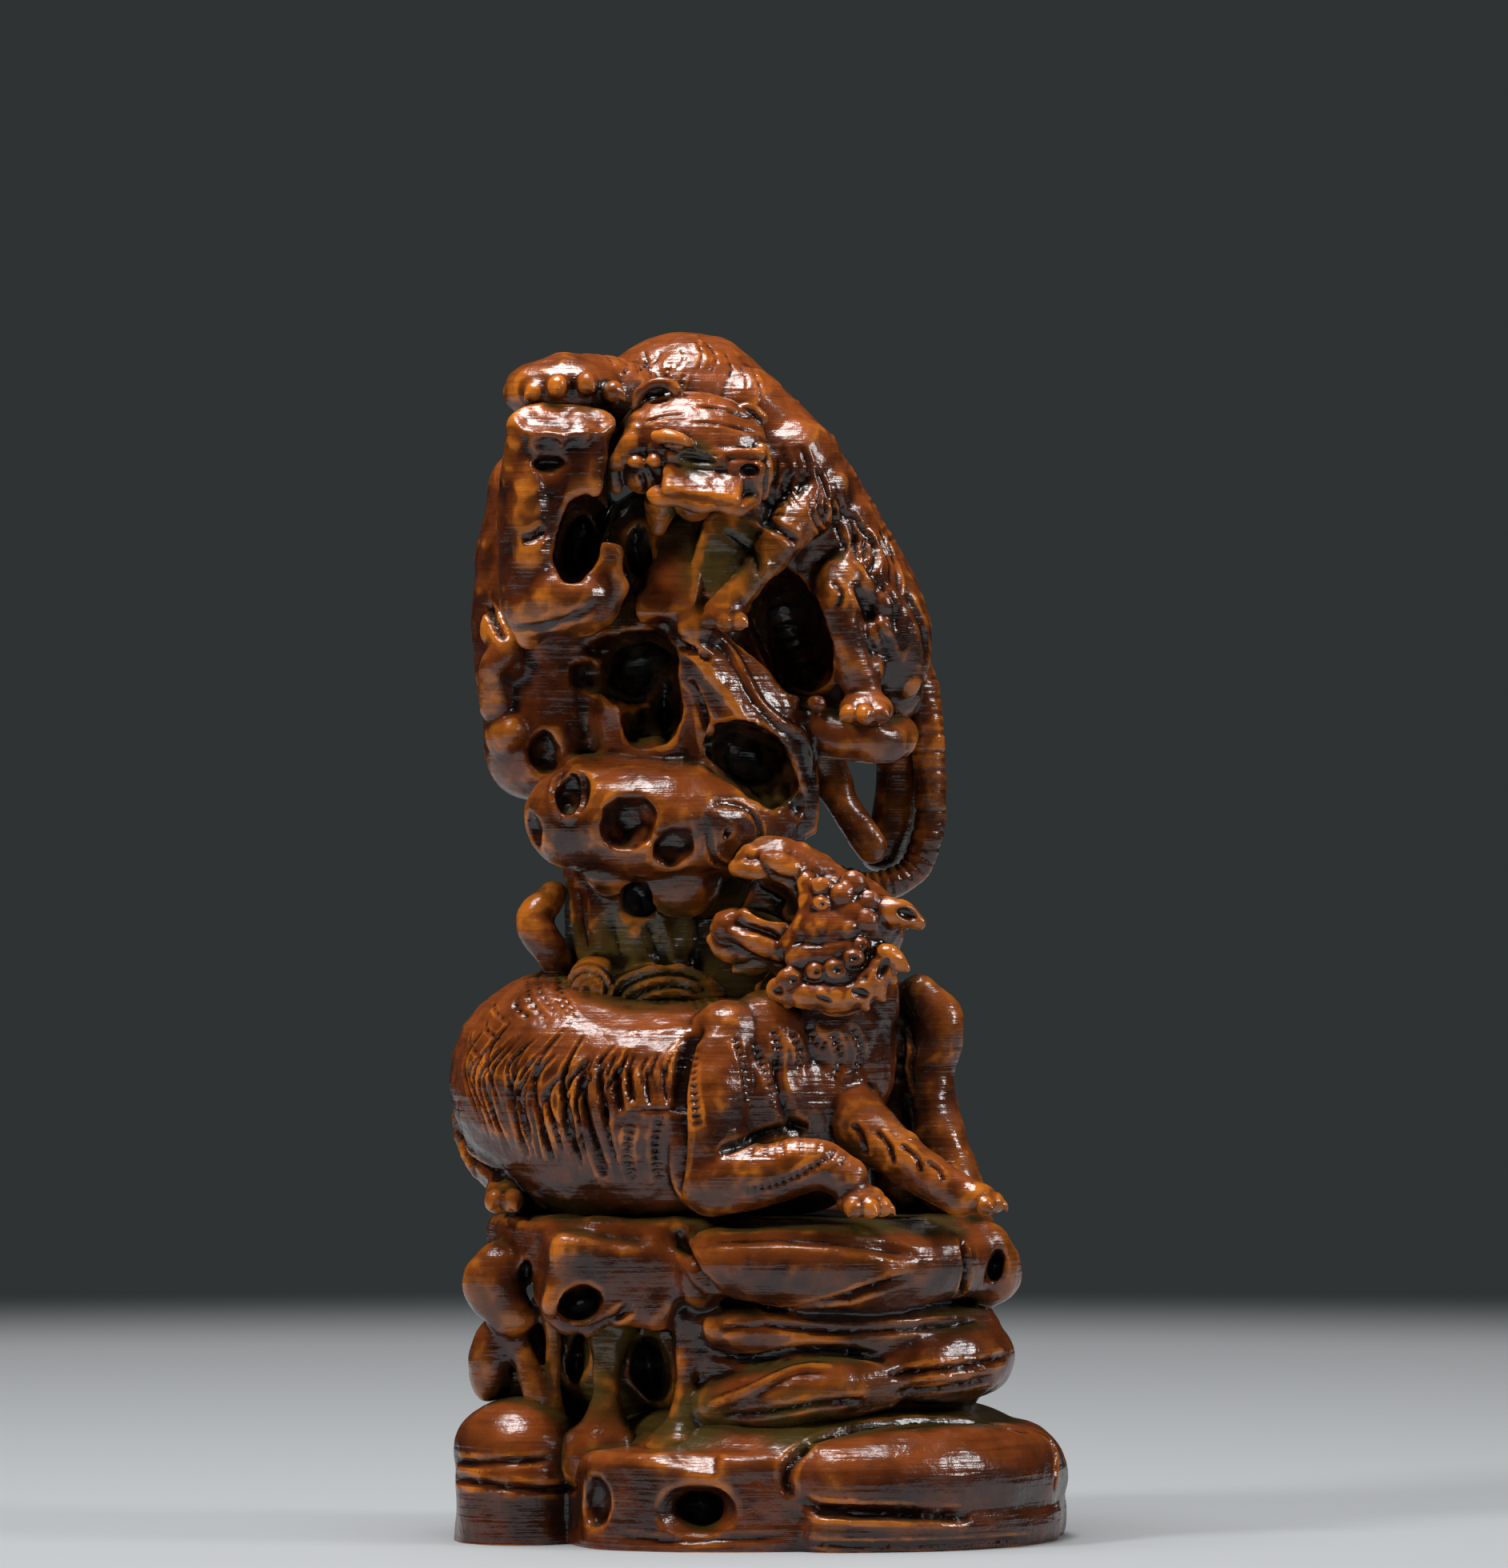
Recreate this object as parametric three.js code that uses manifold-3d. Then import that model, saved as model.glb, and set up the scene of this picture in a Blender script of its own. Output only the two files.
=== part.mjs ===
// Two tigers carved on a standing rock: a boxwood desk ornament.
// Millimetres, +Z up, the front faces -Y. The origin is the centre of the base's underside.
// Every carved form (a head, a leg, a tail, a boulder, a ledge) is a solid of its own,
// and neighbouring forms are parted by a narrow kerf along the carved creases.
import * as THREE from "three";
import { mergeVertices } from "three/addons/utils/BufferGeometryUtils.js";
import Module from "manifold-3d";

const wasm = await Module();
wasm.setup();

// Driving dimensions
const carvingHeight = 100;
const baseWidth = 52.2;
const baseDepth = 42.8;
const baseEdgeHeight = 8.4;
const ledgeTop = 26.8;
const perchTop = 91;
const kerf = 0.3;

// Levels worked out from the driving dimensions
const headLevel = carvingHeight - 11.1;
const lowerBack = ledgeTop + 9.6;
const lowerHeadLevel = ledgeTop + 25;
const upperRump = perchTop - 17;

// Colours read from the oiled, rubbed surface
const redBrown = { color: 0x6b2a10, roughness: 0.38, metalness: 0 };
const amber = { color: 0x8a4413, roughness: 0.36, metalness: 0 };
const shadowBrown = { color: 0x4a2410, roughness: 0.42, metalness: 0 };

// Turns a closed three.js geometry into a solid that can be joined and cut.
function solidOf(geometry) {
  const bare = geometry.index ? geometry.toNonIndexed() : geometry;
  const shell = new THREE.BufferGeometry();
  shell.setAttribute("position", bare.getAttribute("position"));
  const merged = mergeVertices(shell, 1e-4);
  return new wasm.Manifold(
    new wasm.Mesh({
      numProp: 3,
      vertProperties: merged.attributes.position.array,
      triVerts: new Uint32Array(merged.index.array),
    }),
  );
}

function geometryOf(solid) {
  const mesh = solid.getMesh();
  const geometry = new THREE.BufferGeometry();
  geometry.setAttribute("position", new THREE.BufferAttribute(mesh.vertProperties, 3));
  geometry.setIndex(new THREE.BufferAttribute(mesh.triVerts, 1));
  geometry.computeVertexNormals();
  return geometry;
}

const join = (solids) => solids.reduce((whole, next) => whole.add(next));

// Small forms get fewer facets than large ones.
function facets(radius) {
  if (radius < 1.5) return [5, 4];
  if (radius < 3) return [6, 4];
  if (radius < 6) return [8, 6];
  return [12, 6];
}

function limbSides(radius) {
  if (radius < 2.2) return 5;
  return radius < 6 ? 7 : 11;
}

// An ellipsoid. Tilt is in degrees about X, Y and Z.
function blob(centre, radii, tilt = [0, 0, 0]) {
  return (swell, frame) => {
    const [around, down] = facets(Math.max(...radii));
    const turn = new THREE.Euler(...tilt.map(THREE.MathUtils.degToRad));
    const place = new THREE.Matrix4().compose(
      new THREE.Vector3(...centre),
      new THREE.Quaternion().setFromEuler(turn),
      new THREE.Vector3(...radii.map((r) => r + swell)),
    );
    const ball = new THREE.SphereGeometry(1, around, down).rotateX(Math.PI / 2);
    return solidOf(ball.applyMatrix4(place).applyMatrix4(frame));
  };
}

// A tapering round limb through stations [x, y, z, radius], with rounded ends.
function limb(stations) {
  return (swell, frame) => {
    const curve = new THREE.CatmullRomCurve3(stations.map(([x, y, z]) => new THREE.Vector3(x, y, z)));
    const girth = new THREE.CatmullRomCurve3(stations.map((s) => new THREE.Vector3(s[3], 0, 0)));
    const stepsPerSpan = 2;
    const steps = (stations.length - 1) * stepsPerSpan;
    const sides = limbSides(Math.max(...stations.map((s) => s[3])));
    const frames = curve.computeFrenetFrames(steps);
    const rings = [];
    const ring = (centre, radius, k) => {
      rings.push({ centre, radius, n: frames.normals[k], b: frames.binormals[k] });
    };
    const capShare = 0.7;
    const cap = (k, u, sign) => {
      const tip = curve.getPoint(u);
      const along = curve.getTangent(u).multiplyScalar(sign);
      const radius = girth.getPoint(u).x + swell;
      const centre = tip.clone().addScaledVector(along, radius * capShare);
      ring(centre, radius * Math.sqrt(1 - capShare * capShare), k);
      return tip.clone().addScaledVector(along, radius);
    };
    const start = cap(0, 0, -1);
    for (let k = 0; k <= steps; k++) ring(curve.getPoint(k / steps), girth.getPoint(k / steps).x + swell, k);
    const end = cap(steps, 1, 1);
    const points = [start];
    for (const { centre, radius, n, b } of rings) {
      for (let s = 0; s < sides; s++) {
        const angle = (2 * Math.PI * s) / sides;
        const point = centre.clone().addScaledVector(n, radius * Math.cos(angle));
        points.push(point.addScaledVector(b, radius * Math.sin(angle)));
      }
    }
    points.push(end);
    const last = points.length - 1;
    const at = (r, s) => 1 + r * sides + (s % sides);
    const index = [];
    for (let s = 0; s < sides; s++) {
      index.push(0, at(0, s + 1), at(0, s));
      for (let r = 0; r < rings.length - 1; r++) {
        index.push(at(r, s), at(r, s + 1), at(r + 1, s + 1));
        index.push(at(r, s), at(r + 1, s + 1), at(r + 1, s));
      }
      index.push(last, at(rings.length - 1, s), at(rings.length - 1, s + 1));
    }
    const geometry = new THREE.BufferGeometry().setFromPoints(points).setIndex(index);
    return solidOf(geometry.applyMatrix4(frame));
  };
}

// A plain box, given by its centre and size. Tilt is in degrees about X, Y and Z.
function box(centre, size, tilt = [0, 0, 0]) {
  return (swell, frame) => {
    const geometry = new THREE.BoxGeometry(...size.map((length) => length + 2 * swell));
    const turn = new THREE.Euler(...tilt.map(THREE.MathUtils.degToRad));
    const place = new THREE.Matrix4().makeRotationFromEuler(turn).setPosition(...centre);
    return solidOf(geometry.applyMatrix4(place).applyMatrix4(frame));
  };
}

// A flat stone: a smooth outline in plan, extruded from low to high with rounded edges.
// An upright one has its outline in X and Z, and low and high are measured towards the front.
function stone(outline, low, high, rounding, upright = false) {
  return (swell, frame) => {
    const rim = new THREE.CatmullRomCurve3(outline.map(([x, y]) => new THREE.Vector3(x, y, 0)), true);
    const corners = rim.getPoints(outline.length * 2).slice(0, -1);
    const shape = new THREE.Shape(corners.map((corner) => new THREE.Vector2(corner.x, corner.y)));
    const geometry = new THREE.ExtrudeGeometry(shape, {
      depth: high - low - 2 * rounding,
      steps: 1,
      bevelEnabled: true,
      bevelThickness: rounding + swell,
      bevelSize: rounding + swell,
      bevelOffset: -rounding,
      bevelSegments: 2,
    });
    geometry.translate(0, 0, low + rounding);
    if (upright) geometry.rotateX(Math.PI / 2);
    return solidOf(geometry.applyMatrix4(frame));
  };
}

const atRest = new THREE.Matrix4();
const mirrored = ([f, e, u]) => [f, -e, u];

// A head's own frame: x to the nose, y to the tiger's left, z to the crown.
function headFrame(centre, forward, crown, scale) {
  const nose = new THREE.Vector3(...forward).normalize();
  const left = new THREE.Vector3(...crown).cross(nose).normalize();
  const top = new THREE.Vector3().crossVectors(nose, left);
  return new THREE.Matrix4()
    .makeBasis(nose, left, top)
    .scale(new THREE.Vector3(scale, scale, scale))
    .setPosition(...centre);
}

// Forms that a head has on both sides, given for its left.
const bothSides = (forms) => [...forms((point) => point), ...forms(mirrored)];

const upperHead = headFrame([-5.1, -7.5, headLevel], [-0.032, -0.927, -0.375], [0.229, -0.371, 0.9], 1);
const lowerHead = headFrame([6.1, -9.6, lowerHeadLevel], [-0.92, -0.12, 0.37], [0.36, 0.08, 0.93], 1.14);

// A paw: a pad with toes spread along a line.
function paw(pad, radii, toes, toeRadius) {
  return [blob(pad, radii), ...toes.map((toe) => blob(toe, [toeRadius, toeRadius * 1.2, toeRadius]))];
}

// Stripes cut into a flank: narrow grooves side by side along the spine, on its outer side.
function stripes(spine, { from, to, count, width, depth, height }) {
  const line = new THREE.CatmullRomCurve3(spine.map(([x, y, z]) => new THREE.Vector3(x, y, z)));
  const girth = new THREE.CatmullRomCurve3(spine.map((station) => new THREE.Vector3(station[3], 0, 0)));
  const reach = 2;
  return Array.from({ length: count }, (_, k) => {
    const share = from + ((to - from) * k) / (count - 1);
    const along = line.getTangent(share).setZ(0).normalize();
    const out = new THREE.Vector3(along.y, -along.x, 0);
    const centre = line.getPoint(share).addScaledVector(out, girth.getPoint(share).x + reach - depth);
    const turn = THREE.MathUtils.radToDeg(Math.atan2(along.y, along.x));
    return box(centre.toArray(), [width, 2 * reach, height], [0, 0, turn]);
  });
}

// The upper tiger crouches over the rock's crown and looks down.
const upperSpine = [
  [-4.5, 2.6, 91.4, 7],
  [-0.8, 3.6, 86, 7.3],
  [3.2, 4.2, 80, 7.2],
  [6.2, 4.2, upperRump - 0.6, 6.6],
];
const upperShoulder = [
  [-1.6, -0.6, 92.6, 4.2],
  [2, -0.4, 88.4, 4.6],
  [5, 0.6, 83, 5],
  [8.4, 1.4, 77, 5],
];
const upperTiger = {
  upper_tiger_body: {
    finish: redBrown,
    forms: [
      blob([-6.3, 2.6, carvingHeight - 7.2], [7.6, 7.6, 7.2]),
      limb(upperSpine),
      limb(upperShoulder),
      blob([-2.6, -1.6, 83.6], [6, 5.4, 5.6]),
      blob([-2.4, -4.4, 81], [3, 3, 4.4]),
    ],
    cuts: stripes(upperShoulder, { from: 0.1, to: 0.7, count: 6, width: 0.6, depth: 0.7, height: 4.5 }),
  },
  upper_tiger_head: {
    finish: redBrown,
    frame: upperHead,
    forms: [
      blob([-0.8, -0.8, 0.8], [4.8, 6.2, 4.2]),
      blob([1.6, -0.6, 2.6], [4, 5.6, 2.2], [0, 20, 0]),
      limb([[0.6, -4.6, 2.2, 1.7], [3, -6.4, 0.1, 1]]),
      limb([[4.3, -3.7, 3, 0.7], [4.6, -1.6, 3.1, 0.9], [4.3, 0.8, 2.9, 0.6]]),
      blob([3.4, -0.2, 1], [1.6, 2.8, 1.8]),
      box([5.5, 0, -0.5], [4.4, 6.4, 1.7]),
      limb([[6, -3.4, -1.1, 0.7], [7.8, -0.2, -0.8, 0.8], [6, 3.6, -1.1, 0.7]]),
      blob([-0.8, -4, 4.9], [0.9, 1.9, 1.3]),
      blob([-1, 4.2, 3.9], [1, 1.6, 1.3]),
      ...bothSides((side) => [blob(side([2.2, 4.1, -0.6]), [2, 1.6, 2.2])]),
    ],
  },
  upper_tiger_jaw: {
    finish: shadowBrown,
    frame: upperHead,
    forms: [
      limb([[0.4, 0, -3.2, 2], [3.2, 0, -3.4, 1.9], [5, 0, -3.4, 1.4]]),
      limb([[3.2, -2.2, -4, 1.1], [3, -2.8, -5.4, 0.9], [2.8, -3, -6.6, 0.5]]),
    ],
  },
  upper_tiger_right_foreleg: {
    finish: redBrown,
    forms: [
      limb([
        [-9, -1.5, perchTop + 1, 4],
        [-13, -4.6, perchTop + 3, 3.6],
        [-16.2, -6.8, perchTop + 3.6, 3.2],
      ]),
      ...paw(
        [-16.3, -7.4, perchTop + 3.6],
        [4.9, 3.8, 2.9],
        [
          [-19, -10.3, perchTop + 3.6],
          [-17.2, -11, perchTop + 4.1],
          [-15, -11, perchTop + 4.2],
          [-12.8, -10.2, perchTop + 3.7],
        ],
        1.1,
      ),
    ],
  },
  upper_tiger_left_foreleg: {
    finish: redBrown,
    forms: [
      limb([[5, -2.5, 86.5, 2.6], [2.6, -6.2, 83.4, 1.9], [0, -8.2, 80, 1.5], [-2.6, -9.4, 77, 1.4]]),
      ...paw(
        [-3, -9.6, 76.4],
        [1.8, 1.5, 1.3],
        [
          [-4.2, -10.4, 75.7],
          [-3, -10.9, 75.4],
          [-1.8, -10.7, 75.5],
        ],
        0.8,
      ),
    ],
  },
  upper_tiger_left_hind_leg: {
    finish: amber,
    forms: [
      blob([9.4, -1, upperRump + 1.2], [4.6, 4.2, 6.6], [0, -14, 0]),
      blob([10, 0.4, upperRump - 3.4], [3.4, 3.4, 4]),
      limb([
        [7.6, -2.8, upperRump + 4.8, 3.2],
        [6.4, -4.8, upperRump + 4, 2.2],
        [7, -5.4, upperRump - 0.6, 1.8],
        [8.4, -5.2, upperRump - 4.2, 1.6],
      ]),
      ...paw(
        [8.6, -6, upperRump - 5.6],
        [2.3, 2, 1.5],
        [
          [7.2, -7.5, upperRump - 6],
          [8.5, -7.9, upperRump - 6.1],
          [9.8, -7.5, upperRump - 6],
        ],
        0.85,
      ),
    ],
  },
  upper_tiger_right_hind_leg: {
    finish: amber,
    forms: [
      blob([1.2, 10, upperRump + 1.6], [4.2, 3.8, 6.2], [0, 20, 0]),
      limb([
        [-1, 12, upperRump + 4, 2.8],
        [-4, 13, upperRump + 1.2, 2.2],
        [-4.4, 13, upperRump - 3, 1.8],
      ]),
      ...paw(
        [-5, 13.6, upperRump - 5],
        [2.1, 2.1, 1.5],
        [
          [-6.2, 15, upperRump - 5.4],
          [-5, 15.4, upperRump - 5.5],
          [-3.8, 15, upperRump - 5.4],
        ],
        0.8,
      ),
    ],
  },
  upper_tiger_tail: {
    finish: redBrown,
    forms: [
      limb([
        [11.8, 4, upperRump - 1.2, 2.1],
        [13.3, 3.4, upperRump - 4.6, 1.6],
        [13.9, 3, upperRump - 10.4, 1.4],
        [13.7, 2.8, upperRump - 16.4, 1.35],
        [12.2, 2.4, upperRump - 19.3, 1.3],
        [9, 1.8, upperRump - 20.2, 1.25],
        [6.4, 1.6, upperRump - 19.6, 1.1],
      ]),
    ],
  },
};

// The lower tiger lies round the foot of the rock and roars upwards.
const lowerSpine = [
  [-11.5, 8.6, lowerBack + 0.6, 7.6],
  [-16.8, -1.6, lowerBack + 1.2, 9],
  [-11, -7.2, lowerBack - 0.4, 8.6],
  [-3.4, -7.6, lowerBack - 0.2, 8.4],
  [3.6, -5.8, lowerBack + 1.6, 7.2],
  [6.4, -6, lowerBack + 8, 5],
];
const lowerBelly = [
  [-17, -1.8, lowerBack - 2.6, 7.4],
  [-11.4, -7, lowerBack - 2.8, 7.6],
  [-4, -7.6, lowerBack - 2.8, 7.4],
  [3, -6, lowerBack - 3, 6.6],
];
const lowerTiger = {
  lower_tiger_body: {
    finish: redBrown,
    forms: [
      limb(lowerSpine),
      limb(lowerBelly),
      blob([-16.4, -0.6, lowerBack + 1.4], [9.4, 9, 9.2]),
      blob([4.6, -7.8, lowerBack + 6], [5.4, 5, 6.4]),
      blob([0.4, -11, lowerBack + 4], [4, 3.6, 5]),
    ],
    cuts: stripes(lowerSpine, { from: 0.22, to: 0.53, count: 9, width: 0.7, depth: 1, height: 9 }),
  },
  lower_tiger_head: {
    finish: redBrown,
    frame: lowerHead,
    forms: [
      blob([-0.8, 0, -0.5], [4.5, 4.2, 3.6]),
      blob([-2, 0, -2.8], [3.6, 4.2, 3.6]),
      limb([[1.2, 0, 1, 2.2], [4.2, 0, 1.6, 2.1], [6.4, 0, 1.3, 1.8], [7.1, 0, 0.9, 1.2]]),
      ...bothSides((side) => [
        blob(side([0.4, 3.2, -1.8]), [2.7, 1.7, 2.6]),
        blob(side([-1.6, 2.9, -4.8]), [3.4, 2.1, 2.6]),
        blob(side([4.9, 1.8, 1.5]), [2.1, 1.2, 0.9]),
        blob(side([1.2, 3.2, 0.9]), [1.5, 1.2, 1.2]),
        blob(side([-4.2, 3.3, 1.1]), [1.9, 1, 0.9]),
      ]),
    ],
    cuts: [blob([4.7, 0.8, -1.4], [2.1, 3.4, 1.7])],
  },
  lower_tiger_jaw: {
    finish: redBrown,
    frame: lowerHead,
    forms: [
      limb([[1.6, 0, -4.2, 1.9], [4, 0, -4.1, 1.6], [5.6, 0, -4.1, 1.7]]),
      blob([6.2, 0, -4.3], [1.6, 1.9, 1.8]),
    ],
  },
  lower_tiger_right_foreleg: {
    finish: redBrown,
    forms: [
      limb([
        [-2.8, -12.6, lowerBack + 5.4, 2.8],
        [-3.8, -14, lowerBack + 1.4, 3.3],
        [-4.4, -14.6, lowerBack - 3.4, 3.4],
        [-4.2, -15, lowerBack - 6, 3.2],
      ]),
      limb([
        [-4, -15.4, lowerBack - 6.4, 3],
        [0.2, -16.6, lowerBack - 6, 2.6],
        [4.4, -17, lowerBack - 5.2, 2.2],
        [7, -17.2, lowerBack - 6.2, 1.8],
      ]),
      ...paw(
        [8, -17.4, lowerBack - 8],
        [2, 1.8, 1.4],
        [
          [7.4, -18.9, lowerBack - 8.6],
          [8.8, -18.8, lowerBack - 8.6],
          [9.8, -17.8, lowerBack - 8.5],
        ],
        0.85,
      ),
    ],
  },
  lower_tiger_left_foreleg: {
    finish: redBrown,
    forms: [
      limb([
        [6.6, -9.5, lowerBack - 0.6, 3.2],
        [10, -12.2, lowerBack - 3.2, 2.6],
        [13.6, -13.4, lowerBack - 6, 2.1],
        [16.2, -14, lowerBack - 7.7, 1.8],
      ]),
      ...paw(
        [17.4, -14.2, lowerBack - 8],
        [1.9, 2, 1.4],
        [
          [18.2, -15.7, lowerBack - 8.5],
          [19, -14.6, lowerBack - 8.3],
          [19, -13.3, lowerBack - 8.3],
        ],
        0.85,
      ),
    ],
  },
  lower_tiger_hind_leg: {
    finish: redBrown,
    forms: [
      limb([
        [-18.6, 7, lowerBack + 0.6, 5],
        [-21.8, 5, lowerBack - 1, 4],
        [-22.9, 1.6, lowerBack - 4, 2.6],
        [-21.8, -2, lowerBack - 6.2, 1.7],
      ]),
      ...paw(
        [-21, -5.4, lowerBack - 7.9],
        [1.7, 3, 1.5],
        [
          [-21.8, -7.9, lowerBack - 8.4],
          [-20.4, -8.1, lowerBack - 8.4],
        ],
        0.95,
      ),
    ],
  },
  lower_tiger_tail: {
    finish: redBrown,
    forms: [
      limb([
        [-12, 9.5, 43, 2.2],
        [-15, 5.5, 45.6, 1.9],
        [-16.4, 0, 46.6, 1.6],
        [-17.2, -3, 48.2, 1.5],
        [-18.7, -2.6, 50.8, 1.6],
        [-17.2, -1.2, 53, 1.2],
      ]),
    ],
  },
};

// The standing rock, water-worn and full of hollows.
const standingRock = {
  rock_core: {
    finish: shadowBrown,
    forms: [
      limb([[-7, 1.6, 80, 7.4], [-7.4, 2.6, 72, 9], [-6.6, 3.4, 64, 9], [-5.4, 3.6, 56.6, 8]]),
      blob([-7.2, -4.8, 77.2], [3.8, 4.8, 2.6]),
    ],
  },
  rock_neck: {
    finish: shadowBrown,
    forms: [
      limb([[-10.4, 0.8, 55, 6], [-10.6, 0.4, 49, 5.7], [-10.4, 1, 43, 6.4]]),
      blob([-2, 4, 46], [8.4, 7, 11]),
      blob([-9, -5.6, 44.6], [6.4, 2.4, 3]),
      blob([-13.8, -6, 45.8], [2.2, 2.2, 2.2]),
    ],
  },
  rock_pierced_column: {
    finish: amber,
    forms: [
      stone(
        [
          [-20.4, 92.4],
          [-21.4, 85],
          [-20.9, 76.6],
          [-17, 74.2],
          [-11.4, 77.2],
          [-11.4, 84],
          [-12.8, 91.8],
          [-16.4, 93.4],
        ],
        4.6,
        11.8,
        2.4,
        true,
      ),
      blob([-19, -8.8, 82.6], [2.7, 3.8, 9.4]),
      blob([-16.4, -9, 77.2], [5, 4, 3.2]),
    ],
    cuts: [box([-16.4, -13.4, 95.4], [11.4, 6, 6], [45, 0, 4])],
  },
  rock_left_back: {
    finish: redBrown,
    forms: [
      limb([[-17.6, 2.4, 85.8, 5.2], [-18, 2.2, 78, 6.1], [-18, 1.8, 71, 5.8], [-18.2, 0.8, 65.4, 5]]),
      limb([[-22, -2.4, 75.2, 1.5], [-21.4, -3.8, 72.4, 1.4], [-21.8, -2.6, 68.8, 1.6]]),
    ],
  },
  rock_boulder: {
    finish: amber,
    forms: [
      limb([
        [-15.4, -7, 59.4, 4],
        [-10.6, -8.4, 59.2, 4.5],
        [-5.6, -7.8, 58.9, 4.5],
        [-2.4, -5.8, 58.4, 4.2],
      ]),
      blob([-10.2, -6, 61.4], [6.4, 4.4, 2.8]),
      blob([-6.6, -6.4, 54.4], [3.6, 3.4, 3.2]),
    ],
  },
  rock_right_column: {
    finish: redBrown,
    forms: [
      limb([
        [-6.2, -5.4, 75.4, 2.4],
        [-3, -5.2, 69.4, 3.8],
        [-0.4, -4.8, 65.7, 4.4],
        [0.2, -3.4, 57.8, 4.5],
      ]),
      limb([[-5.6, -4.2, 74, 2.8], [-3.4, -3.8, 68, 4], [-0.6, -3, 60, 4.6]]),
    ],
  },
  rock_strut: {
    finish: amber,
    forms: [
      limb([[4.6, 1.6, 65, 2], [6.6, 1.2, 61, 1.6], [9.2, 0.6, 57, 1.5]]),
      limb([[11.4, 5.6, 69, 2.4], [11.4, 5.2, 62, 1.8], [10, 4.6, 56.6, 1.8]]),
      limb([[9.2, 0.8, 57, 1.5], [10, 4.4, 57, 1.7]]),
    ],
  },
  rock_perch_spur: {
    finish: amber,
    forms: [limb([[3, -2, 67.4, 2.5], [6.4, -4.2, 66.2, 2.1], [9.4, -4.6, 65.8, 2], [11, -2.4, 66, 2]])],
  },
  rock_spur_right: {
    finish: redBrown,
    forms: [
      limb([
        [13, -1.6, 45, 1.7],
        [14.6, -1.6, 42.4, 2.3],
        [13.9, -2.4, 38, 2.1],
        [14.6, -3.4, 33, 2.4],
        [15.6, -4.6, 29, 2.6],
      ]),
      blob([11.6, 0.4, 37], [3, 3, 9]),
      blob([12.4, -1.4, 30], [3.6, 3.6, 4]),
    ],
  },
};

// The ledge that the lower tiger lies on, and the stones below it.
const ledge = {
  stone_core: {
    finish: shadowBrown,
    forms: [blob([3.4, -0.5, 15.4], [16.6, 14, 9]), blob([-9, 2, 15.4], [11.4, 9.6, 9])],
  },
  ledge_shelf: {
    finish: shadowBrown,
    forms: [
      stone(
        [
          [-21.6, -5],
          [-15.4, -12.4],
          [-6, -13.6],
          [2, -16],
          [12, -13.2],
          [18.4, -5],
          [18.6, 5],
          [12, 12.8],
          [4, 14.2],
          [-5, 16.8],
          [-15, 13],
          [-22, 5],
        ],
        ledgeTop - 5.6,
        ledgeTop,
        1.3,
      ),
    ],
  },
  ledge_right_stone: {
    finish: redBrown,
    forms: [
      limb([
        [-3.4, -15, 23.3, 2.9],
        [2.6, -15.8, 23, 3.4],
        [8.6, -14.6, 22.8, 3.5],
        [14, -11.2, 23, 3.3],
        [17, -7, 23.1, 3.1],
      ]),
      blob([18.4, -5, 22.8], [2.8, 4.2, 3.3]),
      blob([-4.6, -13.6, 22.6], [2.6, 2.6, 3.2], [0, 20, 0]),
    ],
  },
  ledge_left_stone: {
    finish: redBrown,
    forms: [
      blob([-12.4, -10.8, 21.8], [6.8, 5, 4.4], [6, 8, 10]),
      blob([-8.6, -12, 21.4], [2.8, 2.8, 4], [0, 24, 0]),
      blob([-15, -12.4, 20], [3, 3, 3]),
    ],
  },
  ledge_left_knob: {
    finish: amber,
    forms: [limb([[-21.4, -6.4, 22.6, 2.4], [-22, -6.4, 21.2, 2.7], [-20.4, -6.6, 18.2, 2]])],
  },
  stone_middle_right: {
    finish: redBrown,
    forms: [
      limb([
        [-3.2, -12.8, 17.8, 1.8],
        [0.4, -13.8, 17.6, 2.1],
        [5, -13.2, 17.2, 2.3],
        [11, -11.4, 17, 2.5],
        [17.2, -5.4, 16.8, 2.7],
      ]),
      limb([[-3.6, -13, 11.4, 2], [0.4, -14.8, 12.2, 2.5], [5.4, -15, 12.9, 2.6], [9.8, -13.4, 13.4, 2.3]]),
      limb([[8.6, -12, 14.4, 2.6], [13.4, -10.8, 14.6, 3.2], [17.2, -6.6, 15, 3.4], [17.6, -1.4, 15, 3.1]]),
    ],
  },
  stone_left_column: {
    finish: redBrown,
    forms: [
      blob([-22, -4.2, 15], [2.1, 2.6, 3.9]),
      blob([-19.6, -2.6, 14.4], [2.8, 2.6, 5]),
      blob([-17.6, -5.4, 11.4], [2.4, 2.2, 2.4]),
    ],
  },
  stone_inner_post: {
    finish: shadowBrown,
    forms: [limb([[-10.6, -8.6, 18.4, 1.7], [-11.6, -9.6, 14, 1.2], [-11, -10.4, 9.4, 1.9]])],
  },
};

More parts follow.
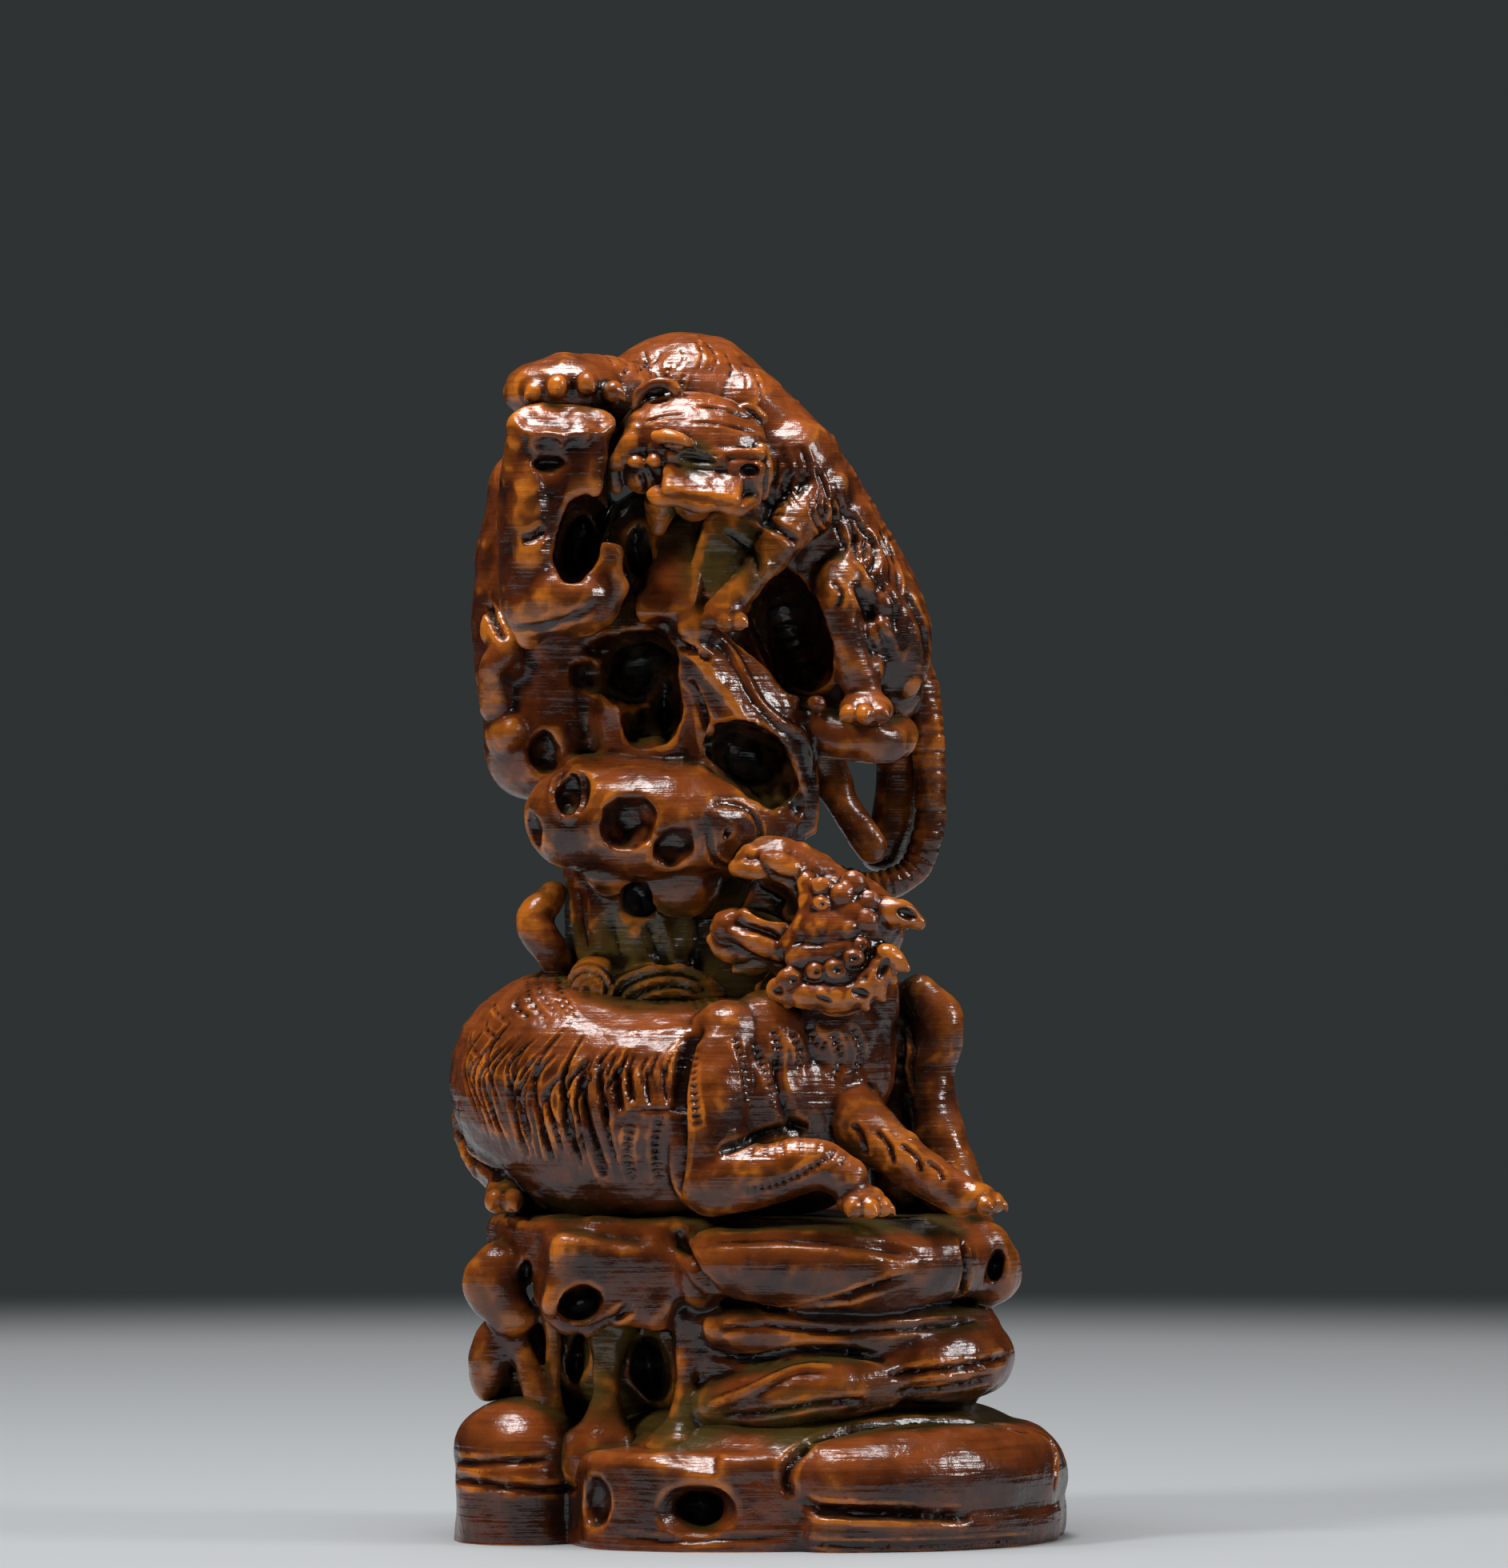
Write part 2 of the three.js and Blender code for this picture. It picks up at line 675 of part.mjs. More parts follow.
// The base: a low slab with stones let into its edge.
const base = {
  base_slab: {
    finish: redBrown,
    forms: [
      stone(
        [
          [-15, -13],
          [-11, -18.8],
          [-4, -20.6],
          [2, -baseDepth / 2],
          [9, -18],
          [17, -12],
          [21.6, -1],
          [23, 9],
          [15, 19.4],
          [2, baseDepth / 2],
          [-11, 20],
          [-21.4, 12.4],
          [-baseWidth / 2 + 0.6, 4],
          [-18, -4],
        ],
        -2,
        baseEdgeHeight,
        1.6,
      ),
      blob([4, -1, 5.4], [20.5, 19.2, 7.5]),
    ],
  },
  base_left_boulder: {
    finish: redBrown,
    forms: [
      blob([-19.9, -5.8, 7.4], [5.6, 6.7, 4.4]),
      blob([-20, -5.7, 2.2], [6.1, 7.6, 4.2]),
    ],
  },
  base_right_stone: {
    finish: redBrown,
    forms: [
      limb([
        [6.2, -17.2, 5.2, 4],
        [12.6, -15.4, 5.4, 4.4],
        [18.4, -10, 5.4, 4.6],
        [20.8, -1.4, 5.2, 4.6],
        [20.6, 5, 4.6, 4.2],
      ]),
      limb([
        [6.2, -17.8, 1.6, 3.8],
        [12.8, -15.9, 1.6, 4],
        [19.2, -9.4, 1.6, 4.2],
        [21.6, 0, 1.6, baseWidth / 2 - 21.4],
      ]),
    ],
  },
};

// Hollows worn through the rock. Each is cut from every stone it meets.
const hollows = [
  blob([-14.9, -9, 82.2], [2.1, 9, 4.1], [0, 14, 0]),
  blob([-11.4, -9.4, 86], [1.9, 6, 4.6], [0, 8, 0]),
  blob([-10.4, -3.6, 71.2], [4.4, 10, 3.4], [0, -12, 0]),
  blob([-14.6, -6.4, 70.8], [3.4, 6.4, 3.6]),
  blob([-10.4, -6, 67.6], [4.2, 5.6, 2.4]),
  blob([2.5, -4.4, 74.4], [3.1, 8, 5.6], [0, -20, 0]),
  blob([-1.2, -8, 64.2], [3.4, 6.4, 2.9], [0, 32, 0]),
  blob([3.4, -7, 60.2], [1.2, 3.4, 1.5]),
  blob([-15.6, -11, 61.6], [1.5, 2.8, 2.2], [0, 24, 0]),
  blob([-10.9, -13, 58.9], [2.3, 4.4, 2.5], [0, 10, 0]),
  blob([-6.7, -12.4, 56.9], [1.7, 3.2, 1.9]),
  blob([-17.8, -5, 64.6], [1.6, 4, 2.1]),
  blob([-10.2, -6.2, 53], [1.9, 4, 1.9], [0, 20, 0]),
  blob([-14.7, -15.6, 19.8], [2, 4.4, 1.6], [0, -18, 0]),
  blob([19.4, -8.8, 22.6], [1, 2.6, 1.6], [0, 14, 0]),
  blob([-8, -12.6, 14.6], [1.9, 9, 3.4]),
  blob([-14, -11, 14.4], [1.7, 8, 3.6]),
  blob([-5.7, -20.4, 3.5], [3.2, 5, 2]),
  blob([-13.6, -16.6, 3.8], [1.5, 2.6, 2.2]),
];

// Everything below the table line is cut away, so that the base stands flat.
const belowTable = (() => {
  const depth = 20;
  const slab = new THREE.BoxGeometry(4 * baseWidth, 4 * baseDepth, depth);
  return solidOf(slab.translate(0, 0, -depth / 2));
})();

function boxesMeet(a, b) {
  const p = a.boundingBox();
  const q = b.boundingBox();
  return [0, 1, 2].every((k) => p.min[k] < q.max[k] && q.min[k] < p.max[k]);
}

const cutBy = (solid, cutters) =>
  cutters.reduce((left, cutter) => (boxesMeet(left, cutter) ? left.subtract(cutter) : left), solid);

const mainBody = (solid) =>
  solid.decompose().reduce((best, next) => (next.volume() > best.volume() ? next : best));

// Forms are made in the order listed: each one is trimmed to leave a kerf to those before it.
const families = { base, ledge, standingRock, upperTiger, lowerTiger };
const rocks = [standingRock, ledge, base];
const worn = hollows.map((hollow) => hollow(0, atRest));
const carving = new THREE.Group();
const grownBefore = [];

for (const [familyName, family] of Object.entries(families)) {
  const group = new THREE.Group();
  group.name = familyName;
  for (const [name, { forms, finish, cuts = [], frame = atRest }] of Object.entries(family)) {
    const whole = join(forms.map((form) => form(0, frame)));
    const carved = cuts.map((cut) => cut(0, frame));
    const trims = [belowTable, ...carved, ...(rocks.includes(family) ? worn : []), ...grownBefore];
    const mesh = new THREE.Mesh(
      geometryOf(mainBody(cutBy(whole, trims))),
      new THREE.MeshStandardMaterial(finish),
    );
    mesh.name = name;
    group.add(mesh);
    grownBefore.push(join(forms.map((form) => form(kerf, frame))));
  }
  carving.add(group);
}

export default carving;
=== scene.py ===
import math

import bpy
import numpy as np
from mathutils import Euler, Matrix, Vector
from mathutils.bvhtree import BVHTree
from mathutils.kdtree import KDTree


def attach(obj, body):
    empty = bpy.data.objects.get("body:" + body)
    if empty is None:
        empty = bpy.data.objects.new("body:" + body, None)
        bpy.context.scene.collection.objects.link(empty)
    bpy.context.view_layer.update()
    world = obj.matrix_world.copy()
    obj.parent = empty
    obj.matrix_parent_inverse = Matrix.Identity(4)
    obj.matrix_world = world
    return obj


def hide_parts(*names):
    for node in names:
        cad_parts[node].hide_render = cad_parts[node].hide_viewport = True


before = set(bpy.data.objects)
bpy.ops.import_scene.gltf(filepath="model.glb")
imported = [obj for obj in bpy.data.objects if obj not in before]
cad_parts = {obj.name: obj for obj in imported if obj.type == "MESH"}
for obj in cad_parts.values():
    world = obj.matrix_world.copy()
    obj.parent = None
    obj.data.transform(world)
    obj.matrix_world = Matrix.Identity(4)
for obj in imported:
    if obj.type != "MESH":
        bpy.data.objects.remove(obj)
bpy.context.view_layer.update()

# Two tigers on a standing rock, carved in boxwood. Forms are given in millimetres and made in metres.
# Front is -Y, up is +Z, and the origin is the centre of the base's underside.
mm = 0.001
chance = np.random.default_rng(7)

# how the photo was taken: a level camera, with this many pixels to a millimetre at the origin
photo = {"width": 1885, "height": 1960, "pxPerMm": 15.09, "distance": 880.0, "eye": (-0.6, 62.2)}

# heights that the forms hang on
ledgeTop = 26.8
perchTop = 91.0
lowerBack = ledgeTop + 9.6
upperRump = perchTop - 17


# making forms

def deselectAll():
    bpy.ops.object.select_all(action="DESELECT")


def applied(piece, kind, **settings):
    tool = piece.modifiers.new(kind.lower(), kind)
    for key, value in settings.items():
        setattr(tool, key, value)
    bpy.context.view_layer.objects.active = piece
    bpy.ops.object.modifier_apply(modifier=tool.name)
    return piece


def turned(tilt):
    return Euler([math.radians(angle) for angle in tilt])


def blob(centre, radii, tilt=(0, 0, 0)):
    deselectAll()
    bpy.ops.mesh.primitive_uv_sphere_add(segments=48, ring_count=28, radius=mm)
    form = bpy.context.object
    form.data.transform(Matrix.LocRotScale(Vector(centre) * mm, turned(tilt), Vector(radii)))
    return form


def block(centre, size, tilt=(0, 0, 0), rounding=0.6):
    # a box with rounded edges
    deselectAll()
    bpy.ops.mesh.primitive_cube_add(size=mm)
    form = bpy.context.object
    form.data.transform(Matrix.LocRotScale(Vector(centre) * mm, turned(tilt), Vector(size)))
    applied(form, "BEVEL", width=rounding * mm, segments=4)
    return form


def limb(stations, ridged=False):
    # a tapering bar through (x, y, z, radius) with a ball at each end; a ridged one has four edges
    deselectAll()
    bpy.ops.curve.primitive_bezier_curve_add()
    form = bpy.context.object
    bar = form.data.splines[0]
    bar.bezier_points.add(len(stations) - 2)
    bar.radius_interpolation = "CARDINAL"
    for point, (x, y, z, radius) in zip(bar.bezier_points, stations):
        point.co = Vector((x, y, z)) * mm
        point.radius = radius
        point.handle_left_type = point.handle_right_type = "AUTO"
    form.data.bevel_depth = mm
    form.data.bevel_resolution = 0 if ridged else 10
    form.data.resolution_u = 20
    form.data.use_fill_caps = True
    bpy.ops.object.convert(target="MESH")
    form = bpy.context.object
    share = 0.7 if ridged else 1.0
    ends = [blob(s[:3], [s[3] * share] * 3) for s in (stations[0], stations[-1])]
    return joined([form] + ends)


def smoothLoop(points, perSpan=6):
    # a closed smooth line through the points
    points = np.array(points, float)
    out = []
    count = len(points)
    for k in range(count):
        a, b, c, d = (points[(k + s) % count] for s in (-1, 0, 1, 2))
        for t in np.arange(perSpan) / perSpan:
            bend = (2 * a - 5 * b + 4 * c - d) * t * t + (3 * b - a - 3 * c + d) * t ** 3
            out.append(0.5 * (2 * b + (c - a) * t + bend))
    return np.array(out)


def stone(outline, low, high, rounding, upright=False):
    # an outline pulled to a thickness and rounded over: in plan, or upright from front to back
    rim = smoothLoop(outline)
    deselectAll()
    bpy.ops.mesh.primitive_circle_add(vertices=len(rim), fill_type="NGON", radius=mm)
    form = bpy.context.object
    for vertex, (x, other) in zip(form.data.vertices, rim):
        vertex.co = Vector((x, low, other) if upright else (x, other, low)) * mm
    rise = (high - low) * mm
    bpy.ops.object.mode_set(mode="EDIT")
    bpy.ops.mesh.select_all(action="SELECT")
    pull = (0, rise, 0) if upright else (0, 0, rise)
    bpy.ops.mesh.extrude_region_move(TRANSFORM_OT_translate={"value": pull})
    bpy.ops.mesh.select_all(action="SELECT")
    bpy.ops.mesh.normals_make_consistent(inside=False)
    bpy.ops.object.mode_set(mode="OBJECT")
    return applied(form, "BEVEL", width=rounding * mm, segments=5, limit_method="ANGLE",
                   angle_limit=math.radians(50))


def joined(forms):
    deselectAll()
    for form in forms:
        form.select_set(True)
    bpy.context.view_layer.objects.active = forms[0]
    if len(forms) > 1:
        bpy.ops.object.join()
    return bpy.context.object


def remeshed(piece, voxel, soften):
    # one closed skin over everything in the piece, with its creases rubbed soft
    applied(piece, "REMESH", mode="VOXEL", voxel_size=voxel * mm)
    return applied(piece, "SMOOTH", factor=0.5, iterations=soften)


def copied(piece, name):
    twin = piece.copy()
    twin.data = piece.data.copy()
    twin.name = twin.data.name = name
    bpy.context.collection.objects.link(twin)
    return twin


def hollowed(piece, cutters, voxel, soften, ragged=None):
    # cuts the hollows out and rubs their rims round; ragged makes them less true
    if not cutters:
        return piece
    cutter = joined(cutters)
    applied(cutter, "REMESH", mode="VOXEL", voxel_size=voxel * mm)
    if ragged:
        swollen(cutter, *ragged)
    applied(piece, "BOOLEAN", operation="DIFFERENCE", object=cutter, solver="MANIFOLD")
    bpy.data.objects.remove(cutter)
    return remeshed(piece, voxel, soften)


def flatBelow(piece):
    # the underside is sawn flat at table height
    deselectAll()
    piece.select_set(True)
    bpy.context.view_layer.objects.active = piece
    bpy.ops.object.mode_set(mode="EDIT")
    bpy.ops.mesh.select_all(action="SELECT")
    bpy.ops.mesh.bisect(plane_co=(0, 0, 0), plane_no=(0, 0, 1), use_fill=True, clear_inner=True,
                        threshold=1e-6)
    bpy.ops.object.mode_set(mode="OBJECT")
    return piece


# knife work on the skin: every stroke lifts or sinks points along their normals

def readPoints(piece):
    flat = np.empty(len(piece.data.vertices) * 3, np.float32)
    piece.data.vertices.foreach_get("co", flat)
    return flat.reshape(-1, 3).astype(float) / mm


def readNormals(piece):
    flat = np.empty(len(piece.data.vertices) * 3, np.float32)
    piece.data.vertex_normals.foreach_get("vector", flat)
    return flat.reshape(-1, 3).astype(float)


def writePoints(piece, points):
    piece.data.vertices.foreach_set("co", (points * mm).astype(np.float32).ravel())
    piece.data.update()


def skinTree(piece):
    points = readPoints(piece)
    faces = [tuple(p.vertices) for p in piece.data.polygons]
    return BVHTree.FromPolygons(points.tolist(), faces)


def nearPath(points, path, reach):
    # the points within reach of a path: which, how far off, and how far along in mm
    path = np.asarray(path, float)
    low = path.min(0) - reach
    high = path.max(0) + reach
    near = np.flatnonzero(((points > low) & (points < high)).all(1))
    spots = points[near]
    off = np.full(len(near), 1e9)
    along = np.zeros(len(near))
    gone = 0.0
    for a, b in zip(path[:-1], path[1:]):
        step = b - a
        span = np.linalg.norm(step)
        if span < 1e-6:
            continue
        t = np.clip((spots - a) @ step / span ** 2, 0, 1)
        d = np.linalg.norm(spots - (a + t[:, None] * step), axis=1)
        closer = d < off
        off[closer] = d[closer]
        along[closer] = gone + t[closer] * span
        gone += span
    return near, off, along, max(gone, 1e-6)


# a cut in widths: how far it is felt, how steep it is, and where its raised lip lies
blade = {"reach": 2.2, "edge": 1.1, "lipAt": 1.25, "lipWidth": 0.45, "runOut": 0.6, "betweenNicks": 0.15}
# a lip's height, in depths
lips = {"line": 0.12, "fan": 0.25, "stripe": 0.2}
# how far the hand strays from a plan, as low and high
sway = {"place": (0.2, 0.8), "end": (0, 0.3), "bow": (0.6, 1.4), "width": (0.8, 1.2), "depth": (0.7, 1.2),
        "lean": (0.5, 1.5), "gap": (0.8, 1.2)}


def cutStroke(lift, points, path, width, depth, lip=0.0, rungs=0.0, taper=0.25):
    # a knife cut along a path, a raised line if depth is negative; rungs breaks it into a row of nicks
    if len(path) < 2:
        return
    near, off, along, length = nearPath(points, path, blade["reach"] * width)
    share = along / length
    fade = np.clip(np.minimum(share, 1 - share) / max(taper, 1e-3), 0, 1) ** blade["runOut"]
    u = off / width
    shape = -depth * np.clip(1 - u, 0, 1) ** blade["edge"]
    if rungs:
        low = blade["betweenNicks"]
        shape *= low + (1 - low) * np.sin(np.pi * along / rungs) ** 2
    shape += lip * np.exp(-((u - blade["lipAt"]) / blade["lipWidth"]) ** 2)
    lift[near] += shape * fade


def photoRay(mark):
    eyeX, eyeZ = photo["eye"]
    eye = Vector((eyeX, -photo["distance"], eyeZ))
    across = (mark[0] - photo["width"] / 2) / photo["pxPerMm"]
    up = (photo["height"] / 2 - mark[1]) / photo["pxPerMm"]
    return eye, Vector((across, photo["distance"], up)).normalized()


def onMarks(marks, share):
    # the place at a share of a smooth line through marks on the photo
    marks = np.array(marks, float)
    return np.array(alongSpine(np.c_[marks, marks], share)[0][:2])


def traced(tree, marks, finer=6, leap=2.5):
    # a smooth line on the photo, laid onto the skin from the camera, without spots that leap away
    spots = []
    for share in np.linspace(0, 1, finer * (len(marks) - 1) + 1):
        hit = tree.ray_cast(*photoRay(onMarks(marks, share)))[0]
        if hit is not None and (not spots or (hit - spots[-1]).length < leap):
            spots.append(hit)
    return np.array([tuple(spot) for spot in spots])


def alongSpine(stations, t):
    # place and direction at share t of a line through stations
    stations = np.array(stations, float)
    k = min(int(t * (len(stations) - 1)), len(stations) - 2)
    s = t * (len(stations) - 1) - k
    a = stations[max(k - 1, 0)]
    b = stations[k]
    c = stations[k + 1]
    d = stations[min(k + 2, len(stations) - 1)]
    bend = 2 * a - 5 * b + 4 * c - d
    twist = 3 * b - a - 3 * c + d
    at = 0.5 * (2 * b + (c - a) * s + bend * s * s + twist * s ** 3)
    slope = 0.5 * ((c - a) + 2 * bend * s + 3 * twist * s * s)
    return Vector(at[:3]), Vector(slope[:3]).normalized(), at[3]


def bandAround(tree, stations, t, fromAngle, toAngle, lean=0.0, steps=14, farthest=1.5):
    # a line round a limb between two angles, 0 at the top of the back
    path = []
    for share in np.linspace(0, 1, steps):
        angle = math.radians(fromAngle + (toAngle - fromAngle) * share)
        centre, along, radius = alongSpine(stations, min(max(t + lean * (share - 0.5), 0), 1))
        up = Vector((0, 0, 1)) if abs(along.z) < 0.9 else Vector((0, 1, 0))
        up = (up - along * up.dot(along)).normalized()
        side = along.cross(up)
        hit = tree.ray_cast(centre, up * math.cos(angle) + side * math.sin(angle))[0]
        if hit is not None and (hit - centre).length < farthest * radius:
            path.append(tuple(hit))
    return np.array(path)


class KnifeWork:
    # gathers the strokes on one skin, then moves the skin once
    def __init__(self, skin):
        self.skin = skin
        self.tree = skinTree(skin)
        self.points = readPoints(skin)
        self.lift = np.zeros(len(self.points))

    def lines(self, plan):
        # each line is (marks on the photo, width, depth), and then a rung length if it is a row of nicks
        for marks, width, depth, *rungs in plan.values():
            path = traced(self.tree, marks)
            lip = lips["line"] * depth
            cutStroke(self.lift, self.points, path, width, depth, lip, *rungs, taper=0.15)

    def fan(self, plan):
        # strokes between two lines on the photo, top and foot, each bowed by some pixels at its bend
        for k in range(plan["count"]):
            share = min(max((k + chance.uniform(*sway["place"])) / plan["count"], 0), 1)
            start = onMarks(plan["top"], share)
            end = onMarks(plan["foot"], share)
            first = start + (end - start) * chance.uniform(*sway["end"])
            last = end - (end - start) * chance.uniform(*sway["end"])
            middle = first + plan.get("bend", 0.5) * (last - first)
            middle[0] += plan.get("bow", 0) * chance.uniform(*sway["bow"])
            width = plan["width"] * chance.uniform(*sway["width"])
            depth = plan["depth"] * chance.uniform(*sway["depth"])
            path = traced(self.tree, [first, middle, last])
            lip = lips["fan"] * depth
            cutStroke(self.lift, self.points, path, width, depth, lip, plan.get("rungs", 0))

    def stripes(self, spine, plan):
        # rows of cuts round a limb: shares from and to, gap, the two angles, width, depth, lean, rungs
        t = plan["from"]
        stray = plan.get("stray", 9)
        while t < plan["to"]:
            low, high = (angle + chance.uniform(-stray, stray) for angle in plan["angles"])
            lean = plan.get("lean", 0) * chance.uniform(*sway["lean"])
            path = bandAround(self.tree, spine, t, low, high, lean)
            width = plan["width"] * chance.uniform(*sway["width"])
            depth = plan["depth"] * chance.uniform(*sway["depth"])
            lip = lips["stripe"] * depth
            cutStroke(self.lift, self.points, path, width, depth, lip, plan.get("rungs", 0))
            t += plan["gap"] * chance.uniform(*sway["gap"])

    def done(self):
        writePoints(self.skin, self.points + readNormals(self.skin) * self.lift[:, None])


def scalloped(piece, size, strength):
    # gouge marks: shallow scoops that meet in ridges
    grain = bpy.data.textures.new("gouge", "VORONOI")
    grain.noise_scale = size * mm
    applied(piece, "DISPLACE", texture=grain, texture_coords="LOCAL", strength=strength * mm,
            mid_level=0.45)


def swollen(piece, size, strength):
    # slow swells of the worn surface
    grain = bpy.data.textures.new("swell", "CLOUDS")
    grain.noise_scale = size * mm
    grain.noise_depth = 2
    applied(piece, "DISPLACE", texture=grain, texture_coords="LOCAL", strength=strength * mm,
            mid_level=0.5)


families = {}
cellPlan = {"voxel": 0.45, "soften": 1, "margin": 0.9}


def carveFamily(name, parts, plan):
    # carves neighbouring nodes as one skin, so that they run into each other, and keeps a cell for each
    cells = {}
    masses = []
    details = []
    for node, part in parts.items():
        mass = joined(part["forms"])
        cell = copied(mass, "cell_" + node)
        if "fine" in part:
            detail = joined(part["fine"])
            details.append(detail)
            cell = joined([cell, copied(detail, "cellFine_" + node)])
        remeshed(cell, cellPlan["voxel"], cellPlan["soften"])
        applied(cell, "DISPLACE", strength=cellPlan["margin"] * mm, mid_level=0)
        cells[node] = cell
        masses.append(mass)
    skin = joined(masses)
    skin.name = skin.data.name = "skin_" + name
    remeshed(skin, plan["voxel"], plan["soften"])
    if "swell" in plan:
        swollen(skin, *plan["swell"])
    if details:
        skin = joined([skin] + details)
        remeshed(skin, plan["voxel"], plan.get("rub", 2))
    skin = hollowed(skin, plan.get("hollows", []), plan["voxel"], plan.get("rub", 2), plan.get("ragged"))
    if "gouge" in plan:
        scalloped(skin, *plan["gouge"])
    work = KnifeWork(skin)
    for spine, stripes in plan.get("stripes", []):
        work.stripes(spine, stripes)
    for strokes in plan.get("fans", []):
        work.fan(strokes)
    work.lines(plan.get("lines", {}))
    work.done()
    if "onTable" in plan:
        flatBelow(skin)
    slotOf = {node: part["slot"] for node, part in parts.items()}
    families[name] = {"skin": skin, "cells": cells, "slots": slotOf}
    print("carved", name, len(skin.data.polygons), "faces")


# rock

def rockForms(plan):
    forms = [limb(stations) for stations in plan.get("limbs", [])]
    forms += [limb(stations, ridged=True) for stations in plan.get("ridges", [])]
    forms += [blob(*ball) for ball in plan.get("blobs", [])]
    forms += [block(*box) for box in plan.get("blocks", [])]
    forms += [stone(*flat) for flat in plan.get("stones", [])]
    forms += [stone(*flat, upright=True) for flat in plan.get("slabs", [])]
    return forms


def rock(plan):
    return {"slot": plan["slot"], "forms": rockForms(plan)}


def hollows(plan, planes=None):
    # round cutters, and boxes that shave planes
    balls = [blob(*ball) for ball in plan.values()]
    return balls + [block(*box) for box in (planes or {}).values()]


# base
leftBoulder = {
    "slot": "rock_wood",
    "stones": [([(-25.2, -6), (-24, -10.4), (-20.4, -12.6), (-16.6, -11.4), (-14.8, -7), (-15.2, -2),
                 (-19, 0.6), (-23.8, -1.4)], -2, 7.2, 1.8)],
    "blobs": [((-19.9, -5.8, 7.4), (5.5, 6.6, 4.4))],
}
rightStone = {
    "slot": "rock_wood",
    "limbs": [[(6.2, -17.2, 5.2, 4), (12.6, -15.4, 5.4, 4.4), (18.4, -10, 5.4, 4.5),
               (20.8, -1.4, 5.2, 4.5), (20.6, 5, 4.6, 4.1)],
              [(6.2, -17.6, 1.6, 3.6), (12.8, -15.8, 1.6, 3.9), (19.2, -9.4, 1.6, 4), (21.4, 0, 1.6, 4)]],
}
slab = {
    "slot": "rock_wood",
    "stones": [([(-15, -13), (-12.6, -17.4), (-7, -20), (-1, -20.2), (3, -19.4), (8, -17), (16, -11),
                 (20, -2), (22.4, 8), (14.8, 19), (2, 21), (-10.8, 19.2), (-21, 12.2), (-24.4, 4),
                 (-17.8, -4)], -2, 8, 1.4)],
    "blobs": [((4, -1, 5.4), (20.5, 19.2, 7.5))],
}
baseHollows = {
    "dish": ((-5.3, -21.2, 3.3), (3.8, 2.8, 2.4)),
    "hole": ((-5, -19, 3.5), (1.9, 6, 1.5)),
    "notch": ((-13.6, -16.6, 3.8), (1.5, 2.6, 2.2)),
}
basePlanes = {
    "facet": ((-6.2, -20.6, 8.9), (5.6, 4.4, 4.4), (45, 0, -2), 0.3),
    "bevelLeft": ((-11.4, -20.4, 9.2), (4.6, 4.4, 4.4), (45, 0, -40), 0.3),
}
# lines are (marks on the photo, width, depth)
baseLines = {
    "upperCrack": ([(558, 1820), (584, 1828), (640, 1827), (690, 1823)], 0.4, 0.5),
    "lowerCrack": ([(556, 1844), (590, 1852), (640, 1860), (690, 1862), (722, 1858)], 0.5, 0.6),
    "slabFoot": ([(770, 1918), (830, 1926), (900, 1924), (985, 1920)], 0.4, 0.3),
    "stoneUnder": ([(1000, 1872), (1020, 1886), (1063, 1890), (1140, 1893), (1212, 1896)], 0.7, 0.9),
    "stoneNose": ([(1012, 1804), (990, 1826), (982, 1850), (990, 1872)], 0.7, 0.8),
    "stoneTop": ([(1006, 1806), (1050, 1790), (1130, 1776), (1220, 1778), (1288, 1790)], 0.6, 0.5),
    "corner": ([(1288, 1785), (1312, 1800), (1320, 1824), (1318, 1862)], 0.45, 0.6),
    "foot": ([(1000, 1928), (1080, 1932), (1180, 1930), (1290, 1924)], 0.35, 0.25),
}
baseParts = {"base_left_boulder": rock(leftBoulder), "base_right_stone": rock(rightStone),
             "base_slab": rock(slab)}
carveFamily("base", baseParts, {
    "voxel": 0.3, "soften": 5, "swell": (4, 0.5), "gouge": (4.2, 0.18), "rub": 3, "onTable": True,
    "ragged": (3, 0.7), "hollows": hollows(baseHollows, basePlanes), "lines": baseLines,
})

# ledge and the stones below it
leftKnob = {
    "slot": "rock_wood",
    "limbs": [[(-21.4, -6.4, 22.4, 2.3), (-22, -6.4, 21.2, 2.6), (-20.4, -6.6, 18.4, 1.9)]],
}
leftStone = {
    "slot": "rock_wood",
    "blocks": [((-12.6, -10.8, 21.8), (11, 8.2, 7), (6, 8, 10), 1.2),
               ((-8.6, -12, 21.4), (4.8, 4.6, 7), (0, 24, -8), 1)],
    "blobs": [((-15, -12.4, 20), (3, 3, 3))],
}
ledgeStone = {
    "slot": "rock_wood",
    "limbs": [[(-3.4, -15, 23.3, 2.9), (2.6, -15.8, 23, 3.4), (8.6, -14.6, 22.8, 3.5),
               (14, -11.2, 23, 3.2), (17, -7, 23.1, 3)],
              [(18.2, -7, 24, 2.3), (18.8, -5.6, 22.2, 2.7), (18.2, -2, 22.6, 2.6)]],
    "blobs": [((-4.6, -13.6, 22.6), (2.6, 2.6, 3.2), (0, 20, 0))],
}
leftColumn = {
    "slot": "rock_wood",
    "blobs": [((-22.2, -4.2, 15), (1.9, 2.6, 3.7), (0, 6, 0)), ((-19.6, -2.6, 14.4), (2.8, 2.6, 5))],
    "limbs": [[(-17.2, -6, 18.6, 1.1), (-17, -6.6, 14.8, 0.65), (-17.2, -7, 11, 1),
               (-17.2, -7.2, 7.2, 3)],
              [(-21.2, -5.6, 18.4, 1.4), (-19.8, -6.2, 15.6, 1), (-18.4, -6.8, 12, 1.1)]],
}
innerPost = {
    "slot": "shaded_wood",
    "limbs": [[(-12, -8.2, 18.6, 2.2), (-12.7, -9.2, 14.4, 1.3), (-12.8, -9.8, 11, 1.6),
               (-13, -10, 7, 3.6)]],
}
